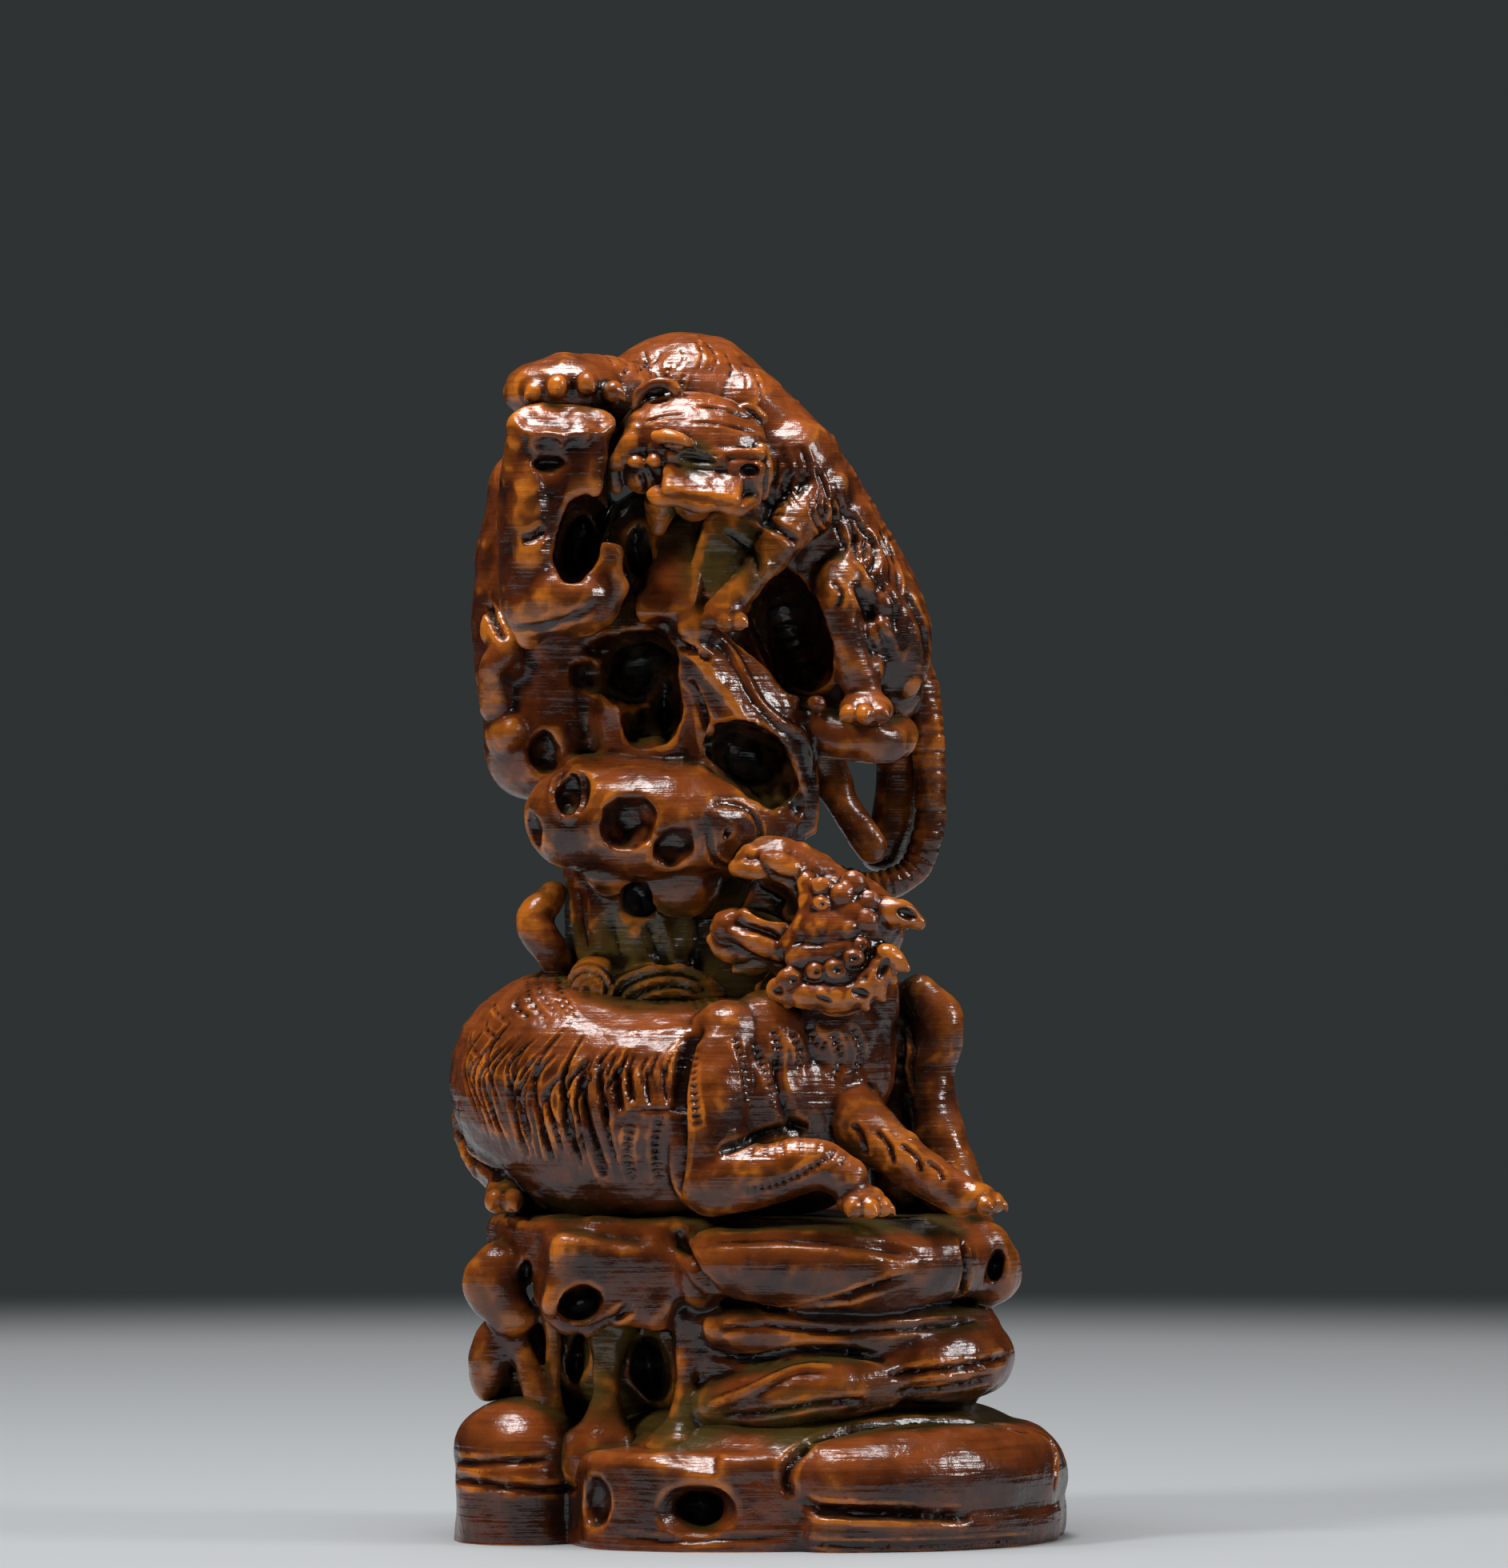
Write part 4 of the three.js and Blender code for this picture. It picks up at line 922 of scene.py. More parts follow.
# lower tiger
lowerSpine = [(-11.5, 8.6, lowerBack + 0.6, 7.6), (-16.8, -1.6, lowerBack + 1.2, 9),
              (-11, -7.2, lowerBack - 0.4, 8.6), (-3.4, -7.6, lowerBack - 0.2, 8.4),
              (3.6, -5.8, lowerBack + 1.6, 7.2), (6.4, -6, lowerBack + 8, 5)]
lowerBelly = [(-17, -1.8, lowerBack - 2.6, 7.4), (-11.4, -7, lowerBack - 2.8, 7.6),
              (-4, -7.6, lowerBack - 2.8, 7.4), (3, -6, lowerBack - 3, 6.6)]
lowerRightFore = {
    "lines": [[(-2.8, -12.6, lowerBack + 5.4, 2.8), (-3.8, -14, lowerBack + 1.4, 3.3),
               (-4.4, -14.6, lowerBack - 3.4, 3.4), (-4.2, -15, lowerBack - 6, 3.2)],
              [(-4, -15.4, lowerBack - 6.4, 3), (0.2, -16.6, lowerBack - 6, 2.6),
               (4.4, -17, lowerBack - 5.2, 2.2), (7, -17.2, lowerBack - 6.2, 1.8)]],
    "pad": (8, -17.4, lowerBack - 8), "padRadii": (2, 1.8, 1.4), "toeRadius": 0.8,
    "toes": [(7.4, -18.9, lowerBack - 8.6), (8.8, -18.8, lowerBack - 8.6), (9.8, -17.8, lowerBack - 8.5)],
}
lowerLeftFore = {
    "lines": [[(6.6, -9.5, lowerBack - 0.8, 3), (10, -12.2, lowerBack - 3.6, 2.3),
               (13.6, -13.4, lowerBack - 6.2, 1.9), (16.2, -14, lowerBack - 7.8, 1.7)]],
    "muscles": [((8.4, -11.6, lowerBack - 0.9), (1.9, 1.4, 1.2)),
                ((11.2, -13, lowerBack - 3.4), (1.8, 1.2, 1.1)),
                ((14, -13.8, lowerBack - 5.9), (1.6, 1.1, 0.9))],
    "pad": (17.4, -14.2, lowerBack - 8), "padRadii": (1.9, 2, 1.4), "toeRadius": 0.8,
    "toes": [(18.2, -15.7, lowerBack - 8.5), (19, -14.6, lowerBack - 8.3), (19, -13.3, lowerBack - 8.3)],
}
lowerHind = {
    "lines": [[(-18.6, 7, lowerBack + 0.6, 5), (-21.6, 5, lowerBack - 1, 4),
               (-22.7, 1.6, lowerBack - 4, 2.6), (-21.8, -2, lowerBack - 6.2, 1.7)]],
    "pad": (-21, -5.4, lowerBack - 7.9), "padRadii": (1.7, 3, 1.5), "toeRadius": 0.95,
    "toes": [(-21.8, -7.9, lowerBack - 8.4), (-20.4, -8.1, lowerBack - 8.4)],
}
lowerTail = [(-12, 9.5, 43, 2.2), (-15, 5.5, 45.6, 1.9), (-16.4, 0, 46.6, 1.6), (-17.2, -3, 48.2, 1.5),
             (-18.7, -2.6, 50.8, 1.6), (-17.2, -1.2, 53, 1.2)]
lowerStripes = [
    (lowerSpine, {"from": 0.03, "to": 0.9, "gap": 0.025, "angles": (-60, 20), "width": 0.3, "depth": 0.16,
                  "rungs": 0.7}),
    (lowerSpine, {"from": 0.03, "to": 0.2, "gap": 0.02, "angles": (54, 120), "width": 0.4, "depth": 0.3,
                  "stray": 12}),
    (lowerRightFore["lines"][1], {"from": 0.3, "to": 0.95, "gap": 0.1, "angles": (0, 70), "width": 0.28,
                                  "depth": 0.14, "rungs": 0.5}),
    (lowerHind["lines"][0], {"from": 0.1, "to": 0.95, "gap": 0.09, "angles": (20, 140), "width": 0.36,
                             "depth": 0.25}),
]
lowerFans = [
    {"top": [(600, 1290), (650, 1246), (700, 1272), (750, 1294), (800, 1308)],
     "foot": [(600, 1410), (630, 1446), (672, 1468), (724, 1478), (776, 1482)],
     "count": 22, "width": 0.26, "depth": 0.24, "bow": -26, "bend": 0.4},
    {"top": [(640, 1334), (680, 1330), (730, 1334)], "foot": [(650, 1450), (690, 1466), (740, 1474)],
     "count": 7, "width": 0.3, "depth": 0.34, "bow": -10, "bend": 0.3},
    {"top": [(740, 1306), (790, 1310), (846, 1304)], "foot": [(735, 1360), (782, 1366), (840, 1362)],
     "count": 8, "width": 0.24, "depth": 0.2, "bow": -6},
    {"top": [(584, 1290), (620, 1240), (670, 1214), (700, 1216)],
     "foot": [(600, 1330), (650, 1290), (700, 1282), (740, 1290)], "count": 8, "width": 0.3,
     "depth": 0.16, "rungs": 1.0, "bow": -8},
]
ladder = 0.62  # from nick to nick in a row
lowerLines = {
    "shoulderLine": ([(880, 1284), (858, 1316), (850, 1370), (850, 1430), (846, 1490)], 0.9, 0.9),
    "armpit": ([(968, 1320), (974, 1360), (988, 1400), (1004, 1418)], 0.7, 0.6),
    "elbowTop": ([(900, 1440), (930, 1430), (960, 1416), (1010, 1408)], 0.6, 0.5),
    "rowA": ([(872, 1310), (866, 1345), (868, 1380), (872, 1410)], 0.5, 0.35, ladder),
    "rowB": ([(918, 1296), (926, 1320), (932, 1350), (934, 1380)], 0.5, 0.35, ladder),
    "rowC": ([(940, 1300), (950, 1326), (962, 1352), (968, 1386)], 0.5, 0.35, ladder),
    "rowD": ([(966, 1286), (972, 1310), (974, 1340)], 0.5, 0.35, ladder),
    "rowE": ([(990, 1290), (1000, 1316), (996, 1340)], 0.5, 0.35, ladder),
    "rowF": ([(1040, 1290), (1050, 1320), (1042, 1350)], 0.5, 0.35, ladder),
    "rowG": ([(1064, 1284), (1076, 1310), (1070, 1340)], 0.5, 0.35, ladder),
    "rowH": ([(1010, 1282), (1020, 1300), (1036, 1312)], 0.5, 0.3, ladder),
    "forearmRow": ([(930, 1490), (970, 1480), (1010, 1462), (1044, 1440)], 0.45, 0.3, ladder),
    "foreFoldA": ([(1066, 1404), (1078, 1420), (1082, 1444)], 0.4, 0.4),
    "foreFoldB": ([(1096, 1414), (1112, 1432), (1118, 1456)], 0.35, 0.35),
    "foreFoldC": ([(1126, 1430), (1146, 1446), (1152, 1466)], 0.35, 0.35),
    "foreFoldD": ([(1158, 1452), (1174, 1462), (1180, 1478)], 0.3, 0.3),
    "haunch": ([(556, 1350), (566, 1400), (590, 1450), (630, 1474)], 0.7, 0.7),
    "stripeA": ([(618, 1336), (612, 1366), (622, 1404), (638, 1440)], 0.3, 0.3),
    "stripeB": ([(648, 1330), (640, 1356), (646, 1398), (660, 1446)], 0.34, 0.4),
    "stripeC": ([(678, 1330), (668, 1358), (674, 1400), (690, 1452)], 0.38, 0.45),
    "stripeD": ([(711, 1326), (703, 1352), (709, 1394), (726, 1458)], 0.38, 0.5),
    "stripeE": ([(736, 1324), (727, 1350), (732, 1392), (744, 1434), (757, 1470)], 0.6, 0.65),
    "stripeF": ([(756, 1328), (750, 1346), (752, 1372), (760, 1404)], 0.4, 0.5),
    "stripeG": ([(774, 1332), (771, 1352), (776, 1390)], 0.5, 0.65),
    "stripeH": ([(789, 1334), (787, 1350), (790, 1378)], 0.42, 0.55),
    "stripeI": ([(811, 1336), (809, 1352), (812, 1382)], 0.35, 0.35),
    "stripeJ": ([(831, 1332), (830, 1350), (834, 1380)], 0.35, 0.35),
    "flankFold": ([(800, 1386), (830, 1388), (860, 1384)], 0.3, 0.25),
    "flankRowA": ([(790, 1400), (784, 1440), (792, 1480)], 0.5, 0.3, ladder),
    "flankRowB": ([(826, 1390), (820, 1430), (824, 1480)], 0.5, 0.3, ladder),
}
lowerBody = [
    limb(lowerSpine), limb(lowerBelly), blob((-16.4, -0.6, lowerBack + 1.4), (9.1, 8.8, 9)),
    blob((4.6, -7.8, lowerBack + 6), (5.4, 5, 6.4)), blob((0.4, -11, lowerBack + 4), (4, 3.6, 5)),
]
lowerParts = {
    "lower_tiger_right_foreleg": leg(lowerRightFore), "lower_tiger_left_foreleg": leg(lowerLeftFore),
    "lower_tiger_hind_leg": leg(lowerHind),
    "lower_tiger_tail": tigerPart([limb(lowerTail)]),
    "lower_tiger_body": tigerPart(lowerBody),
}
carveFamily("lowerTiger", lowerParts, {
    "voxel": 0.2, "soften": 9, "swell": (2.4, 0.4), "rub": 2, "gouge": (2.2, 0.14),
    "stripes": lowerStripes, "fans": lowerFans, "lines": lowerLines,
})

lowerHeadPlace = headPlace((6.1, -9.6, ledgeTop + 25), (-0.92, -0.12, 0.37), (0.36, 0.08, 0.93), 1.14)
lowerHead = [
    blob((-0.8, 0, -0.5), (4.5, 4.2, 3.6)),
    blob((-2, 0, -2.8), (3.6, 4.2, 3.6)),
    limb([(1.2, 0, 1, 2.2), (4.2, 0, 1.6, 2.1), (6.2, 0, 1.4, 1.8), (7, 0, 1, 1.2)]),
    block((4.9, 0, 2.6), (3.4, 2.4, 1.6), (0, 12, 0), 0.5),
    blob((7, 0, 1.5), (1.1, 1.5, 0.9)),
    limb([(6.6, -1.4, 0.5, 0.7), (7.5, -0.7, 0.3, 0.7), (7.5, 0.7, 0.3, 0.7), (6.6, 1.4, 0.5, 0.7)]),
]
ruffRows = [
    [(2.2, 2.7, -7, 0.9), (-0.6, 3.6, -6.4, 1), (-3, 3.8, -5.2, 1.05), (-3.8, 3.9, -3.6, 1),
     (-4.2, 3.8, -1.8, 0.8)],
    [(1.6, 2.9, -4.4, 1), (0.2, 3.3, -3.4, 1.1), (-1.2, 3.5, -2.4, 1.1)],
]
faceBumps = [(2, 3, 1, 0.8), (0.4, 3.3, 0.9, 1), (-0.1, 2.9, 2, 1), (0.3, 3.6, -2.4, 0.9),
             (-0.8, 3.8, -1.3, 0.9), (-1.8, 3.7, -0.2, 0.95), (1.2, 3.4, -1.7, 0.8),
             (-1.6, 3.3, 1.2, 0.9)]
ruffPits = [(1.6, 4.35, -6, 0.46), (0.3, 4.85, -4.9, 0.36), (-1, 5.1, -4.2, 0.44), (-1.8, 5.2, -3, 0.38),
            (-2, 5, -1.9, 0.3)]
ruffScoops = [((-3.3, 5.1, -5.2), (1.1, 0.6, 0.5)), ((-4.1, 5, -2.9), (0.5, 0.6, 1)),
              ((-0.8, 4.9, -6.5), (1, 0.5, 0.32)), ((2.3, 3.8, -7.2), (0.5, 0.5, 0.45)),
              ((-2.9, 5, -3.8), (0.5, 0.5, 0.7))]
ruffTips = [(0.06, 1.0), (0.3, 0.9), (0.52, 1.2), (0.68, 1.5), (0.84, 1.2), (0.97, 1.6)]
lowerHeadHollows = [blob((4.9, 1.7, -1.2), (2.1, 2.1, 1.5))]
for side in (1, -1):
    lowerHead += [
        blob((4.9, 1.6 * side, 1.55), (1.9, 1, 0.85)),
        limb(mirrored([(6.2, 1.5, 0.5, 0.5), (6.1, 1.5, -0.3, 0.36), (6, 1.45, -1, 0.14)], side)),
        limb(mirrored([(3, 2, 1, 0.8), (2.2, 2.5, -0.3, 0.9), (2, 2.5, -2, 0.9), (2.4, 2.2, -3.6, 0.9)],
                      side)),
        blob((1.5, 3.4 * side, -0.2), (0.75, 0.65, 0.65)),
        blob((0, 3 * side, -1.8), (2.3, 1.4, 2.3)),
        blob((-1.6, 2.6 * side, -4.6), (3, 1.9, 2.7)),
        limb(mirrored([(-3, 3, 1, 1.2), (-4.4, 3.4, 1.3, 1), (-5.5, 3.6, 1.2, 0.5)], side)),
    ]
    lowerHead += [limb(mirrored(row, side)) for row in ruffRows]
    lowerHead += [blob((x, y * side, z), (size, 0.8 * size, size))
                  for x, y, z, size in faceBumps]
    lowerHead += [blob((x, (y - 1) * side, z), (2.3 * size, 0.75, 2 * size), (0, 25, 0))
                  for x, y, z, size in ruffPits]
    for share, length in ruffTips:
        spot = alongSpine(ruffRows[0], share)[0]
        out = Vector((-0.6, 0.1, -1.0 + 0.9 * share)).normalized() * length
        tuft = [(*spot, 1), (*(spot + 0.6 * out), 0.75), (*(spot + out), 0.35)]
        lowerHead.append(limb(mirrored(tuft, side)))
    lowerHeadHollows += [
        blob((1.6, 4.05 * side, -0.2), (0.2, 0.35, 0.2)),
        blob((-4.4, 4.4 * side, 1.4), (0.95, 0.65, 0.5)),
    ]
    lowerHeadHollows += [blob((x, y * side, z), (size, 0.55, size))
                         for x, y, z, size in ruffPits]
    lowerHeadHollows += [blob((x, y * side, z), radii)
                         for (x, y, z), radii in ruffScoops]
lowerJaw = [
    block((4, -1.3, -1.6), (4.4, 1.2, 4.6), (0, 0, 0), 0.4),
    limb([(1.2, 0, -4.1, 2.1), (3.4, 0, -3.9, 1.9), (5, 0, -3.8, 1.8), (6.6, 0, -4, 1.5)]),
    limb([(5.4, 0, -4.8, 1.4), (6.6, 0, -5.4, 1), (7.6, 0, -5.2, 0.4)]),
    limb([(3.6, 0, -5, 1.2), (4.6, 0, -6.1, 0.7), (5.2, 0, -6.6, 0.3)]),
    blob((3.8, 0, -3.1), (2.2, 1.1, 0.6)),
]
for side in (1, -1):
    lowerJaw += [
        limb(mirrored([(5.6, 1.2, -3, 0.6), (5.5, 1.3, -2.1, 0.42), (5.4, 1.3, -1.2, 0.15)], side)),
        limb(mirrored([(2.6, 1.7, -2.9, 0.55), (4.4, 1.8, -2.7, 0.55), (6.2, 1.2, -2.9, 0.6)], side)),
        limb(mirrored([(2.8, 1.8, -4.4, 0.7), (4.6, 1.9, -4.4, 0.7), (6.4, 1.2, -4.3, 0.6)], side)),
    ]
lowerHeadParts = {"lower_tiger_jaw": tigerPart(placed(lowerJaw, lowerHeadPlace)),
                  "lower_tiger_head": tigerPart(placed(lowerHead, lowerHeadPlace))}
carveFamily("lowerHead", lowerHeadParts, {
    "voxel": 0.13, "soften": 5, "rub": 2, "swell": (1.4, 0.35),
    "hollows": placed(lowerHeadHollows, lowerHeadPlace),
})


# marks of age and painted light and shade, kept as attributes on the skin

def rubbedOver(points, edges, rounds):
    # the same skin with its small forms averaged away
    count = len(points)
    degree = np.bincount(edges.ravel(), minlength=count).astype(float)[:, None]
    out = points.copy()
    for _ in range(rounds):
        total = np.zeros_like(out)
        for k in range(out.shape[1]):
            total[:, k] = np.bincount(edges[:, 0], out[edges[:, 1], k], count)
            total[:, k] += np.bincount(edges[:, 1], out[edges[:, 0], k], count)
        out = 0.5 * out + 0.5 * total / np.maximum(degree, 1)
    return out


def edgePairs(piece):
    pairs = np.empty(len(piece.data.edges) * 2, np.int32)
    piece.data.edges.foreach_get("vertices", pairs)
    return pairs.reshape(-1, 2)


# places that hands don't reach, where the wood stays olive: (centre, reach)
unrubbedSpots = [((-2.6, -7, 80.4), 5.5), ((-8.4, -8.4, 84), 3), ((-5.4, -12.2, 88.7), 2.2),
                 ((-9, -6, 47), 8), ((-2, -8, 45), 6), ((-12, -8, 14), 7), ((-6, -14, 9.6), 5),
                 ((3, -17, 10), 4)]
# relief that counts as fine and as broad: how far it reaches and how deep it goes
relief = {"fineReach": 0.45, "fineDepth": 0.06, "broadReach": 1.6, "broadDepth": 0.35}
shelterPlan = {"cell": 0.8, "rays": 26, "reach": 9.0, "standOff": 0.25}


def hemisphere(count):
    k = np.arange(count) + 0.5
    tilt = np.sqrt(k / count)
    turn = math.pi * (1 + 5 ** 0.5) * k
    return np.stack([tilt * np.cos(turn), tilt * np.sin(turn), np.sqrt(1 - tilt ** 2)], 1)


def wholeTree(skins):
    points = []
    faces = []
    for skin in skins:
        first = len(points)
        points += readPoints(skin).tolist()
        faces += [tuple(v + first for v in p.vertices) for p in skin.data.polygons]
    return BVHTree.FromPolygons(points, faces)


def shelterOf(points, normals, tree, fan):
    # how closed in each part of a skin is, from rays let out of one point in each small cell
    cells = np.floor(points / shelterPlan["cell"]).astype(np.int64)
    key, first, back = np.unique(cells @ np.array([1, 1000, 1000000]), return_index=True,
                                 return_inverse=True)
    shelter = np.zeros(len(key))
    for c, v in enumerate(first):
        n = normals[v]
        a = np.cross(n, (0, 0, 1) if abs(n[2]) < 0.9 else (1, 0, 0))
        a /= np.linalg.norm(a)
        b = np.cross(n, a)
        start = Vector(points[v] + n * shelterPlan["standOff"])
        closed = 0.0
        for ray in fan @ np.stack([a, b, n]):
            hit = tree.ray_cast(start, Vector(ray), shelterPlan["reach"])
            if hit[0] is not None:
                closed += 1 - 0.5 * hit[3] / shelterPlan["reach"]
        shelter[c] = closed / len(fan)
    return shelter[back.ravel()]


# level skin that is sheltered stays olive, and open skin that faces up gets painted top light: (start,
# span) of each
ageing = {"level": (0.55, 0.35), "sheltered": (0.12, 0.2), "facingUp": (0.05, 0.55), "open": (0.4, -0.25)}


def ramp(values, start, span):
    return np.clip((values - start) / span, 0, 1)


def marksOf(skin, tree, fan):
    # nick is fine relief and swell is broad relief, both below zero where the skin stands proud
    points = readPoints(skin)
    normals = readNormals(skin)
    edges = edgePairs(skin)
    spacing = np.median(np.linalg.norm(points[edges[:, 0]] - points[edges[:, 1]], axis=1))
    fineRounds = max(2, round((relief["fineReach"] / spacing) ** 2 * 2))
    broadRounds = max(8, round((relief["broadReach"] / spacing) ** 2 * 2))
    fine = np.einsum("ij,ij->i", rubbedOver(points, edges, fineRounds) - points, normals)
    broad = np.einsum("ij,ij->i", rubbedOver(points, edges, broadRounds) - points, normals)
    shelter = rubbedOver(shelterOf(points, normals, tree, fan)[:, None], edges, 10)[:, 0]
    finder = KDTree(len(points))
    for k, point in enumerate(points):
        finder.insert(point, k)
    finder.balance()
    level = ramp(normals[:, 2], *ageing["level"]) * ramp(shelter, *ageing["sheltered"])
    unrubbed = rubbedOver(level[:, None], edges, 6)[:, 0]
    for centre, reach in unrubbedSpots:
        away = np.linalg.norm(points - centre, axis=1) / reach
        unrubbed = np.maximum(unrubbed, np.clip(1.6 - 1.6 * away, 0, 1))
    # painted top light: open skin that faces up is given a lighter colour, standing in for the light from
    # above
    paintedTopLight = ramp(normals[:, 2], *ageing["facingUp"]) * ramp(shelter, *ageing["open"])
    paintedTopLight = rubbedOver(paintedTopLight[:, None], edges, 8)[:, 0]
    values = {
        "nick": np.clip(fine / relief["fineDepth"], -1, 1),
        "swellMark": np.clip(broad / relief["broadDepth"], -1, 1),
        "shelter": np.clip(shelter, 0, 1), "unrubbed": np.clip(unrubbed, 0, 1), "paintedTopLight": paintedTopLight,
    }
    return {"finder": finder, "values": values}


def storeMarks(piece, marks):
    # each point of a piece takes the marks of the nearest point of the skin that it was cut from
    nearest = [marks["finder"].find(point)[1] for point in readPoints(piece)]
    for name, values in marks["values"].items():
        mark = piece.data.attributes.new(name, "FLOAT", "POINT")
        mark.data.foreach_set("value", values[nearest].astype(np.float32))


def withoutCrumbs(piece, least=150):
    # drops loose bits too small to be carved forms
    deselectAll()
    piece.select_set(True)
    bpy.context.view_layer.objects.active = piece
    name = piece.name
    bpy.ops.object.mode_set(mode="EDIT")
    bpy.ops.mesh.select_all(action="SELECT")
    bpy.ops.mesh.separate(type="LOOSE")
    bpy.ops.object.mode_set(mode="OBJECT")
    bits = list(bpy.context.selected_objects)
    kept = [bit for bit in bits if len(bit.data.vertices) >= least]
    for bit in bits:
        if bit not in kept:
            bpy.data.objects.remove(bit)
    piece = joined(kept)
    piece.name = piece.data.name = name
    return piece


def splitSkin(family):
    # parts a skin along its creases: each node takes what lies in its cell, and the last takes the rest
    skin = family["skin"]
    *nodes, last = family["cells"]
    pieces = {}
    for node in nodes:
        cell = family["cells"][node]
        piece = copied(skin, "carved_" + node)
        applied(piece, "BOOLEAN", operation="INTERSECT", object=cell, solver="MANIFOLD")
        applied(skin, "BOOLEAN", operation="DIFFERENCE", object=cell, solver="MANIFOLD")
        pieces[node] = piece
    skin.name = skin.data.name = "carved_" + last
    pieces[last] = skin
    for cell in family["cells"].values():
        bpy.data.objects.remove(cell)
    return {node: withoutCrumbs(piece) for node, piece in pieces.items()}


skins = [family["skin"] for family in families.values()]
roomTree = wholeTree(skins)
rayFan = hemisphere(shelterPlan["rays"])
pieces = {}
slots = {}
for family in families.values():
    marks = marksOf(family["skin"], roomTree, rayFan)
    for node, piece in splitSkin(family).items():
        storeMarks(piece, marks)
        pieces[node] = piece
        slots[node] = family["slots"][node]
print("skins parted into", len(pieces), "pieces")


# oiled boxwood
wood = {
    "deep": (0.022, 0.0042, 0.0014, 1), "mid": (0.115, 0.023, 0.004, 1), "amber": (0.5, 0.14, 0.013, 1),
    # the lighter orange here is painted top light for open skin that faces up
    # the near-black colour is a dark wash in fine cuts, and also painted shade in sheltered hollows
    "paintedTopLight": (0.3, 0.068, 0.012, 1), "olive": (0.08, 0.05, 0.011, 1), "darkWashAndShade": (0.003, 0.0016, 0.0012, 1),
    "roughness": (0.18, 0.32), "lineDepth": 0.0002, "lineStretch": (0.5, 0.5, 9),
    "ior": 1.6, "coat": 0.1, "coatRoughness": 0.12,
}


# how fine each figure in the wood is, in repeats to a metre
figure = {"mottle": 170, "speck": 650, "paintedTopLight": 220, "olive": 90, "wear": 260, "gloss": 400, "line": 260,
          "pore": 1500}


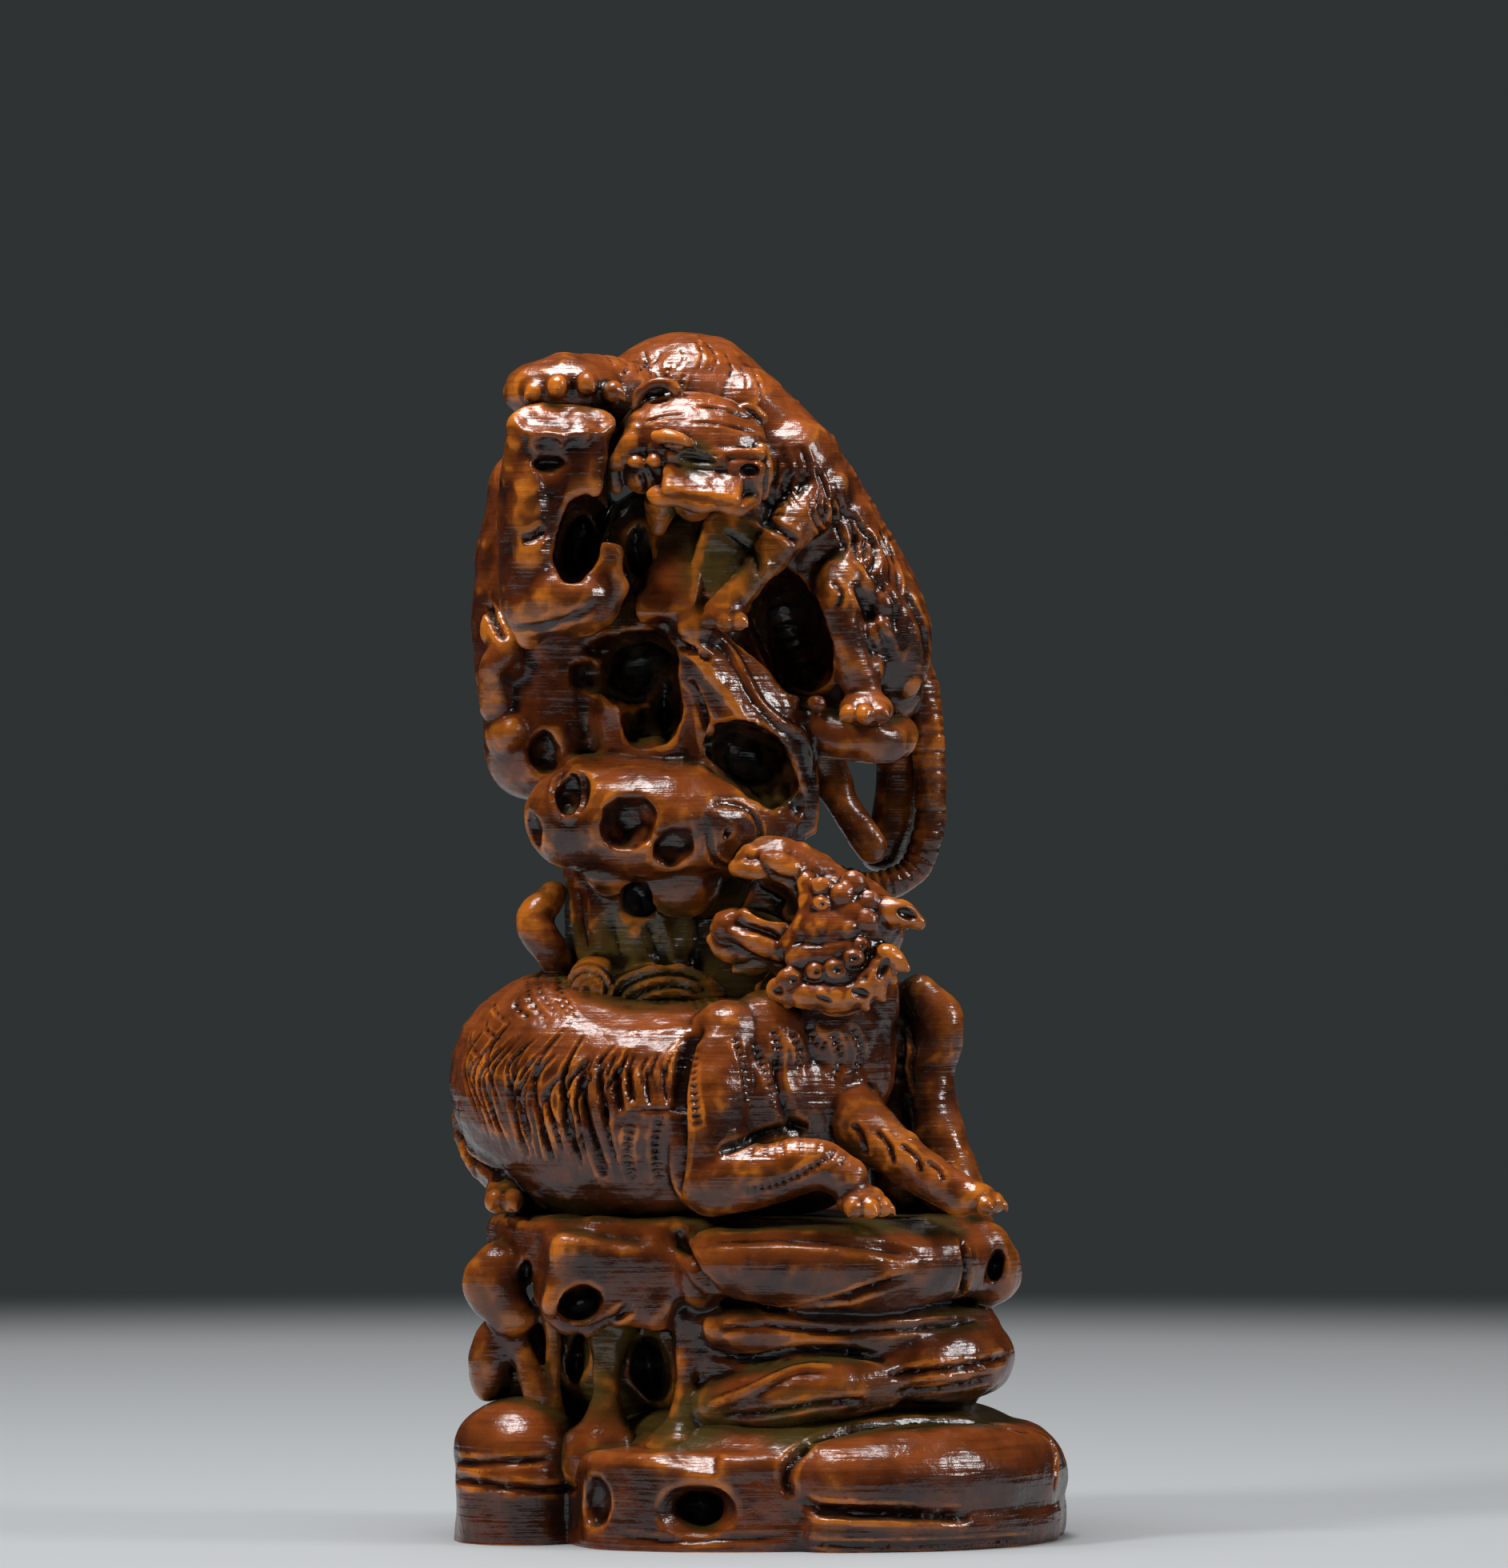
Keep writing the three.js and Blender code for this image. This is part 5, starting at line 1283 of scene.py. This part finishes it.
def oiledWood(name, oliveShare):
    material = bpy.data.materials.new(name)
    material.use_nodes = True
    tree = material.node_tree
    nodes = tree.nodes
    links = tree.links
    shader = nodes["Principled BSDF"]
    place = nodes.new("ShaderNodeTexCoord")

    def mark(label):
        node = nodes.new("ShaderNodeAttribute")
        node.attribute_name = label
        return node.outputs["Fac"]

    def ranged(value, low, high, outLow=0.0, outHigh=1.0):
        node = nodes.new("ShaderNodeMapRange")
        node.inputs["From Min"].default_value = low
        node.inputs["From Max"].default_value = high
        node.inputs["To Min"].default_value = outLow
        node.inputs["To Max"].default_value = outHigh
        links.new(value, node.inputs["Value"])
        return node.outputs["Result"]

    def figured(scale, detail, stretch=(1, 1, 1)):
        spread = nodes.new("ShaderNodeMapping")
        spread.inputs["Scale"].default_value = stretch
        links.new(place.outputs["Object"], spread.inputs["Vector"])
        cloud = nodes.new("ShaderNodeTexNoise")
        cloud.inputs["Scale"].default_value = scale
        cloud.inputs["Detail"].default_value = detail
        links.new(spread.outputs["Vector"], cloud.inputs["Vector"])
        return cloud.outputs["Fac"]

    def blended(share, under, over):
        node = nodes.new("ShaderNodeMix")
        node.data_type = "RGBA"
        links.new(share, node.inputs["Factor"])
        for value, socket in ((under, node.inputs[6]), (over, node.inputs[7])):
            if isinstance(value, tuple):
                socket.default_value = value
            else:
                links.new(value, socket)
        return node.outputs[2]

    def times(a, b, kind="MULTIPLY"):
        node = nodes.new("ShaderNodeMath")
        node.operation = kind
        node.use_clamp = True
        links.new(a, node.inputs[0])
        if isinstance(b, float):
            node.inputs[1].default_value = b
        else:
            links.new(b, node.inputs[1])
        return node.outputs[0]

    nick = mark("nick")
    swell = mark("swellMark")
    shelter = mark("shelter")
    lines = figured(figure["line"], 2, wood["lineStretch"])
    colour = blended(ranged(figured(figure["mottle"], 4), 0.41, 0.62), wood["deep"], wood["mid"])
    colour = blended(ranged(figured(figure["speck"], 4), 0.46, 0.64, 0, 0.7), colour, wood["deep"])
    # painted top light: a lighter colour laid on open skin that faces up, broken by noise
    lit = times(mark("paintedTopLight"), ranged(figured(figure["paintedTopLight"], 3), 0.3, 0.6, 0.3, 0.9))
    colour = blended(lit, colour, wood["paintedTopLight"])
    oliveZone = times(ranged(shelter, 0.3, 0.6), ranged(figured(figure["olive"], 2), 0.35, 0.6))
    oliveZone = times(times(oliveZone, oliveShare), ranged(mark("unrubbed"), 0.1, 0.8), "ADD")
    colour = blended(oliveZone, colour, wood["olive"])
    rubbed = times(ranged(nick, -0.4, -1.0), ranged(swell, 0.1, -0.7, 0.15, 1))
    rubbed = times(rubbed, ranged(swell, -0.5, -1.0, 0, 0.35), "ADD")
    worn = times(rubbed, ranged(figured(figure["wear"], 4), 0.4, 0.62, 0.05, 1))
    colour = blended(worn, colour, wood["amber"])
    colour = blended(ranged(lines, 0.5, 0.75, 0, 0.35), colour, wood["deep"])
    # near-black: a dark wash in fine cuts, plus painted shade darkening sheltered hollows and crevices
    # where shade falls
    darkenedCutsAndShade = times(ranged(nick, 0.2, 1.0, 0, 0.9), ranged(shelter, 0.48, 0.85, 0, 0.9), "ADD")
    colour = blended(darkenedCutsAndShade, colour, wood["darkWashAndShade"])
    links.new(colour, shader.inputs["Base Color"])
    gloss = ranged(figured(figure["gloss"], 2), 0.3, 0.7, *wood["roughness"])
    links.new(gloss, shader.inputs["Roughness"])
    bump = nodes.new("ShaderNodeBump")
    bump.inputs["Strength"].default_value = 0.8
    bump.inputs["Distance"].default_value = wood["lineDepth"]
    pores = times(figured(figure["pore"], 3), 0.5)
    links.new(times(times(lines, 0.6), pores, "ADD"), bump.inputs["Height"])
    links.new(bump.outputs["Normal"], shader.inputs["Normal"])
    shader.inputs["IOR"].default_value = wood["ior"]
    shader.inputs["Coat Weight"].default_value = wood["coat"]
    shader.inputs["Coat Roughness"].default_value = wood["coatRoughness"]
    return material


finishes = {
    "tiger_wood": oiledWood("tigerWood", 0.35),
    "rock_wood": oiledWood("rockWood", 0.5),
    "shaded_wood": oiledWood("shadedWood", 1.0),
}

for node, piece in pieces.items():
    piece.data.materials.clear()
    piece.data.materials.append(finishes[slots[node]])
    deselectAll()
    piece.select_set(True)
    bpy.context.view_layer.objects.active = piece
    bpy.ops.object.shade_smooth_by_angle(angle=math.radians(50))
    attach(piece, "root")
    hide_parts(node)
    print(piece.name, len(piece.data.polygons), "faces")
print("pieces dressed")

# a pale round table top that fades into a dark room
table = {"radius": 6000, "paleTo": 290, "darkFrom": 430, "pale": (0.395, 0.41, 0.42, 1),
         "room": (0.028, 0.033, 0.033, 1)}
deselectAll()
bpy.ops.mesh.primitive_circle_add(vertices=96, radius=table["radius"] * mm, fill_type="NGON")
floor = bpy.context.object
floor.name = "table"
paper = bpy.data.materials.new("paper")
paper.use_nodes = True
paperNodes = paper.node_tree.nodes
paperLinks = paper.node_tree.links
paperPlace = paperNodes.new("ShaderNodeTexCoord")
paperRadius = paperNodes.new("ShaderNodeVectorMath")
paperRadius.operation = "LENGTH"
paperFade = paperNodes.new("ShaderNodeMapRange")
paperFade.interpolation_type = "SMOOTHSTEP"
paperFade.inputs["From Min"].default_value = table["paleTo"] * mm
paperFade.inputs["From Max"].default_value = table["darkFrom"] * mm
paperShader = paperNodes["Principled BSDF"]
paperShader.inputs["Base Color"].default_value = table["pale"]
paperShader.inputs["Roughness"].default_value = 0.7
paperRoom = paperNodes.new("ShaderNodeEmission")
paperRoom.inputs["Color"].default_value = table["room"]
paperMix = paperNodes.new("ShaderNodeMixShader")
paperLinks.new(paperPlace.outputs["Object"], paperRadius.inputs[0])
paperLinks.new(paperRadius.outputs["Value"], paperFade.inputs["Value"])
paperLinks.new(paperFade.outputs["Result"], paperMix.inputs["Fac"])
paperLinks.new(paperShader.outputs["BSDF"], paperMix.inputs[1])
paperLinks.new(paperRoom.outputs["Emission"], paperMix.inputs[2])
paperLinks.new(paperMix.outputs["Shader"], paperNodes["Material Output"].inputs["Surface"])
floor.data.materials.append(paper)

# soft studio light
lamps = {
    "key": {"at": (-450, -340, 420), "size": 120, "power": 2.7, "glint": False},
    "top": {"at": (-50, -20, 500), "size": 220, "power": 2.6, "glint": True},
    "rim": {"at": (430, -140, 320), "size": 120, "power": 1.0, "glint": True},
    "fill": {"at": (300, -600, 200), "size": 420, "power": 0.05, "glint": False},
}
target = Vector((0, 0, 50)) * mm
for name, lamp in lamps.items():
    light = bpy.data.lights.new(name, "AREA")
    light.size = lamp["size"] * mm
    light.energy = lamp["power"]
    holder = bpy.data.objects.new(name, light)
    bpy.context.collection.objects.link(holder)
    holder.location = Vector(lamp["at"]) * mm
    holder.visible_glossy = lamp["glint"]
    holder.rotation_euler = (target - holder.location).to_track_quat("-Z", "Y").to_euler()
roomLight = {"colour": (0.8, 0.82, 0.85, 1), "strength": 0.015}
world = bpy.data.worlds.new("room")
bpy.context.scene.world = world
world.use_nodes = True
worldNodes = world.node_tree.nodes
worldLinks = world.node_tree.links
soft = worldNodes["Background"]
soft.inputs["Color"].default_value = roomLight["colour"]
soft.inputs["Strength"].default_value = roomLight["strength"]
room = worldNodes.new("ShaderNodeBackground")
room.inputs["Color"].default_value = table["room"]
seen = worldNodes.new("ShaderNodeLightPath")
either = worldNodes.new("ShaderNodeMixShader")
worldLinks.new(seen.outputs["Is Camera Ray"], either.inputs["Fac"])
worldLinks.new(soft.outputs["Background"], either.inputs[1])
worldLinks.new(room.outputs["Background"], either.inputs[2])
worldLinks.new(either.outputs["Shader"], worldNodes["World Output"].inputs["Surface"])

# camera at the photo's place
lens = bpy.data.cameras.new("camera")
lens.sensor_fit = "VERTICAL"
lens.sensor_height = 24
lens.lens = lens.sensor_height * photo["distance"] * photo["pxPerMm"] / photo["height"]
lens.clip_end = 20
camera = bpy.data.objects.new("camera", lens)
bpy.context.collection.objects.link(camera)
camera.location = Vector((photo["eye"][0], -photo["distance"], photo["eye"][1])) * mm
camera.rotation_euler = (math.pi / 2, 0, 0)
bpy.context.scene.camera = camera
bpy.context.scene.view_settings.view_transform = "Standard"
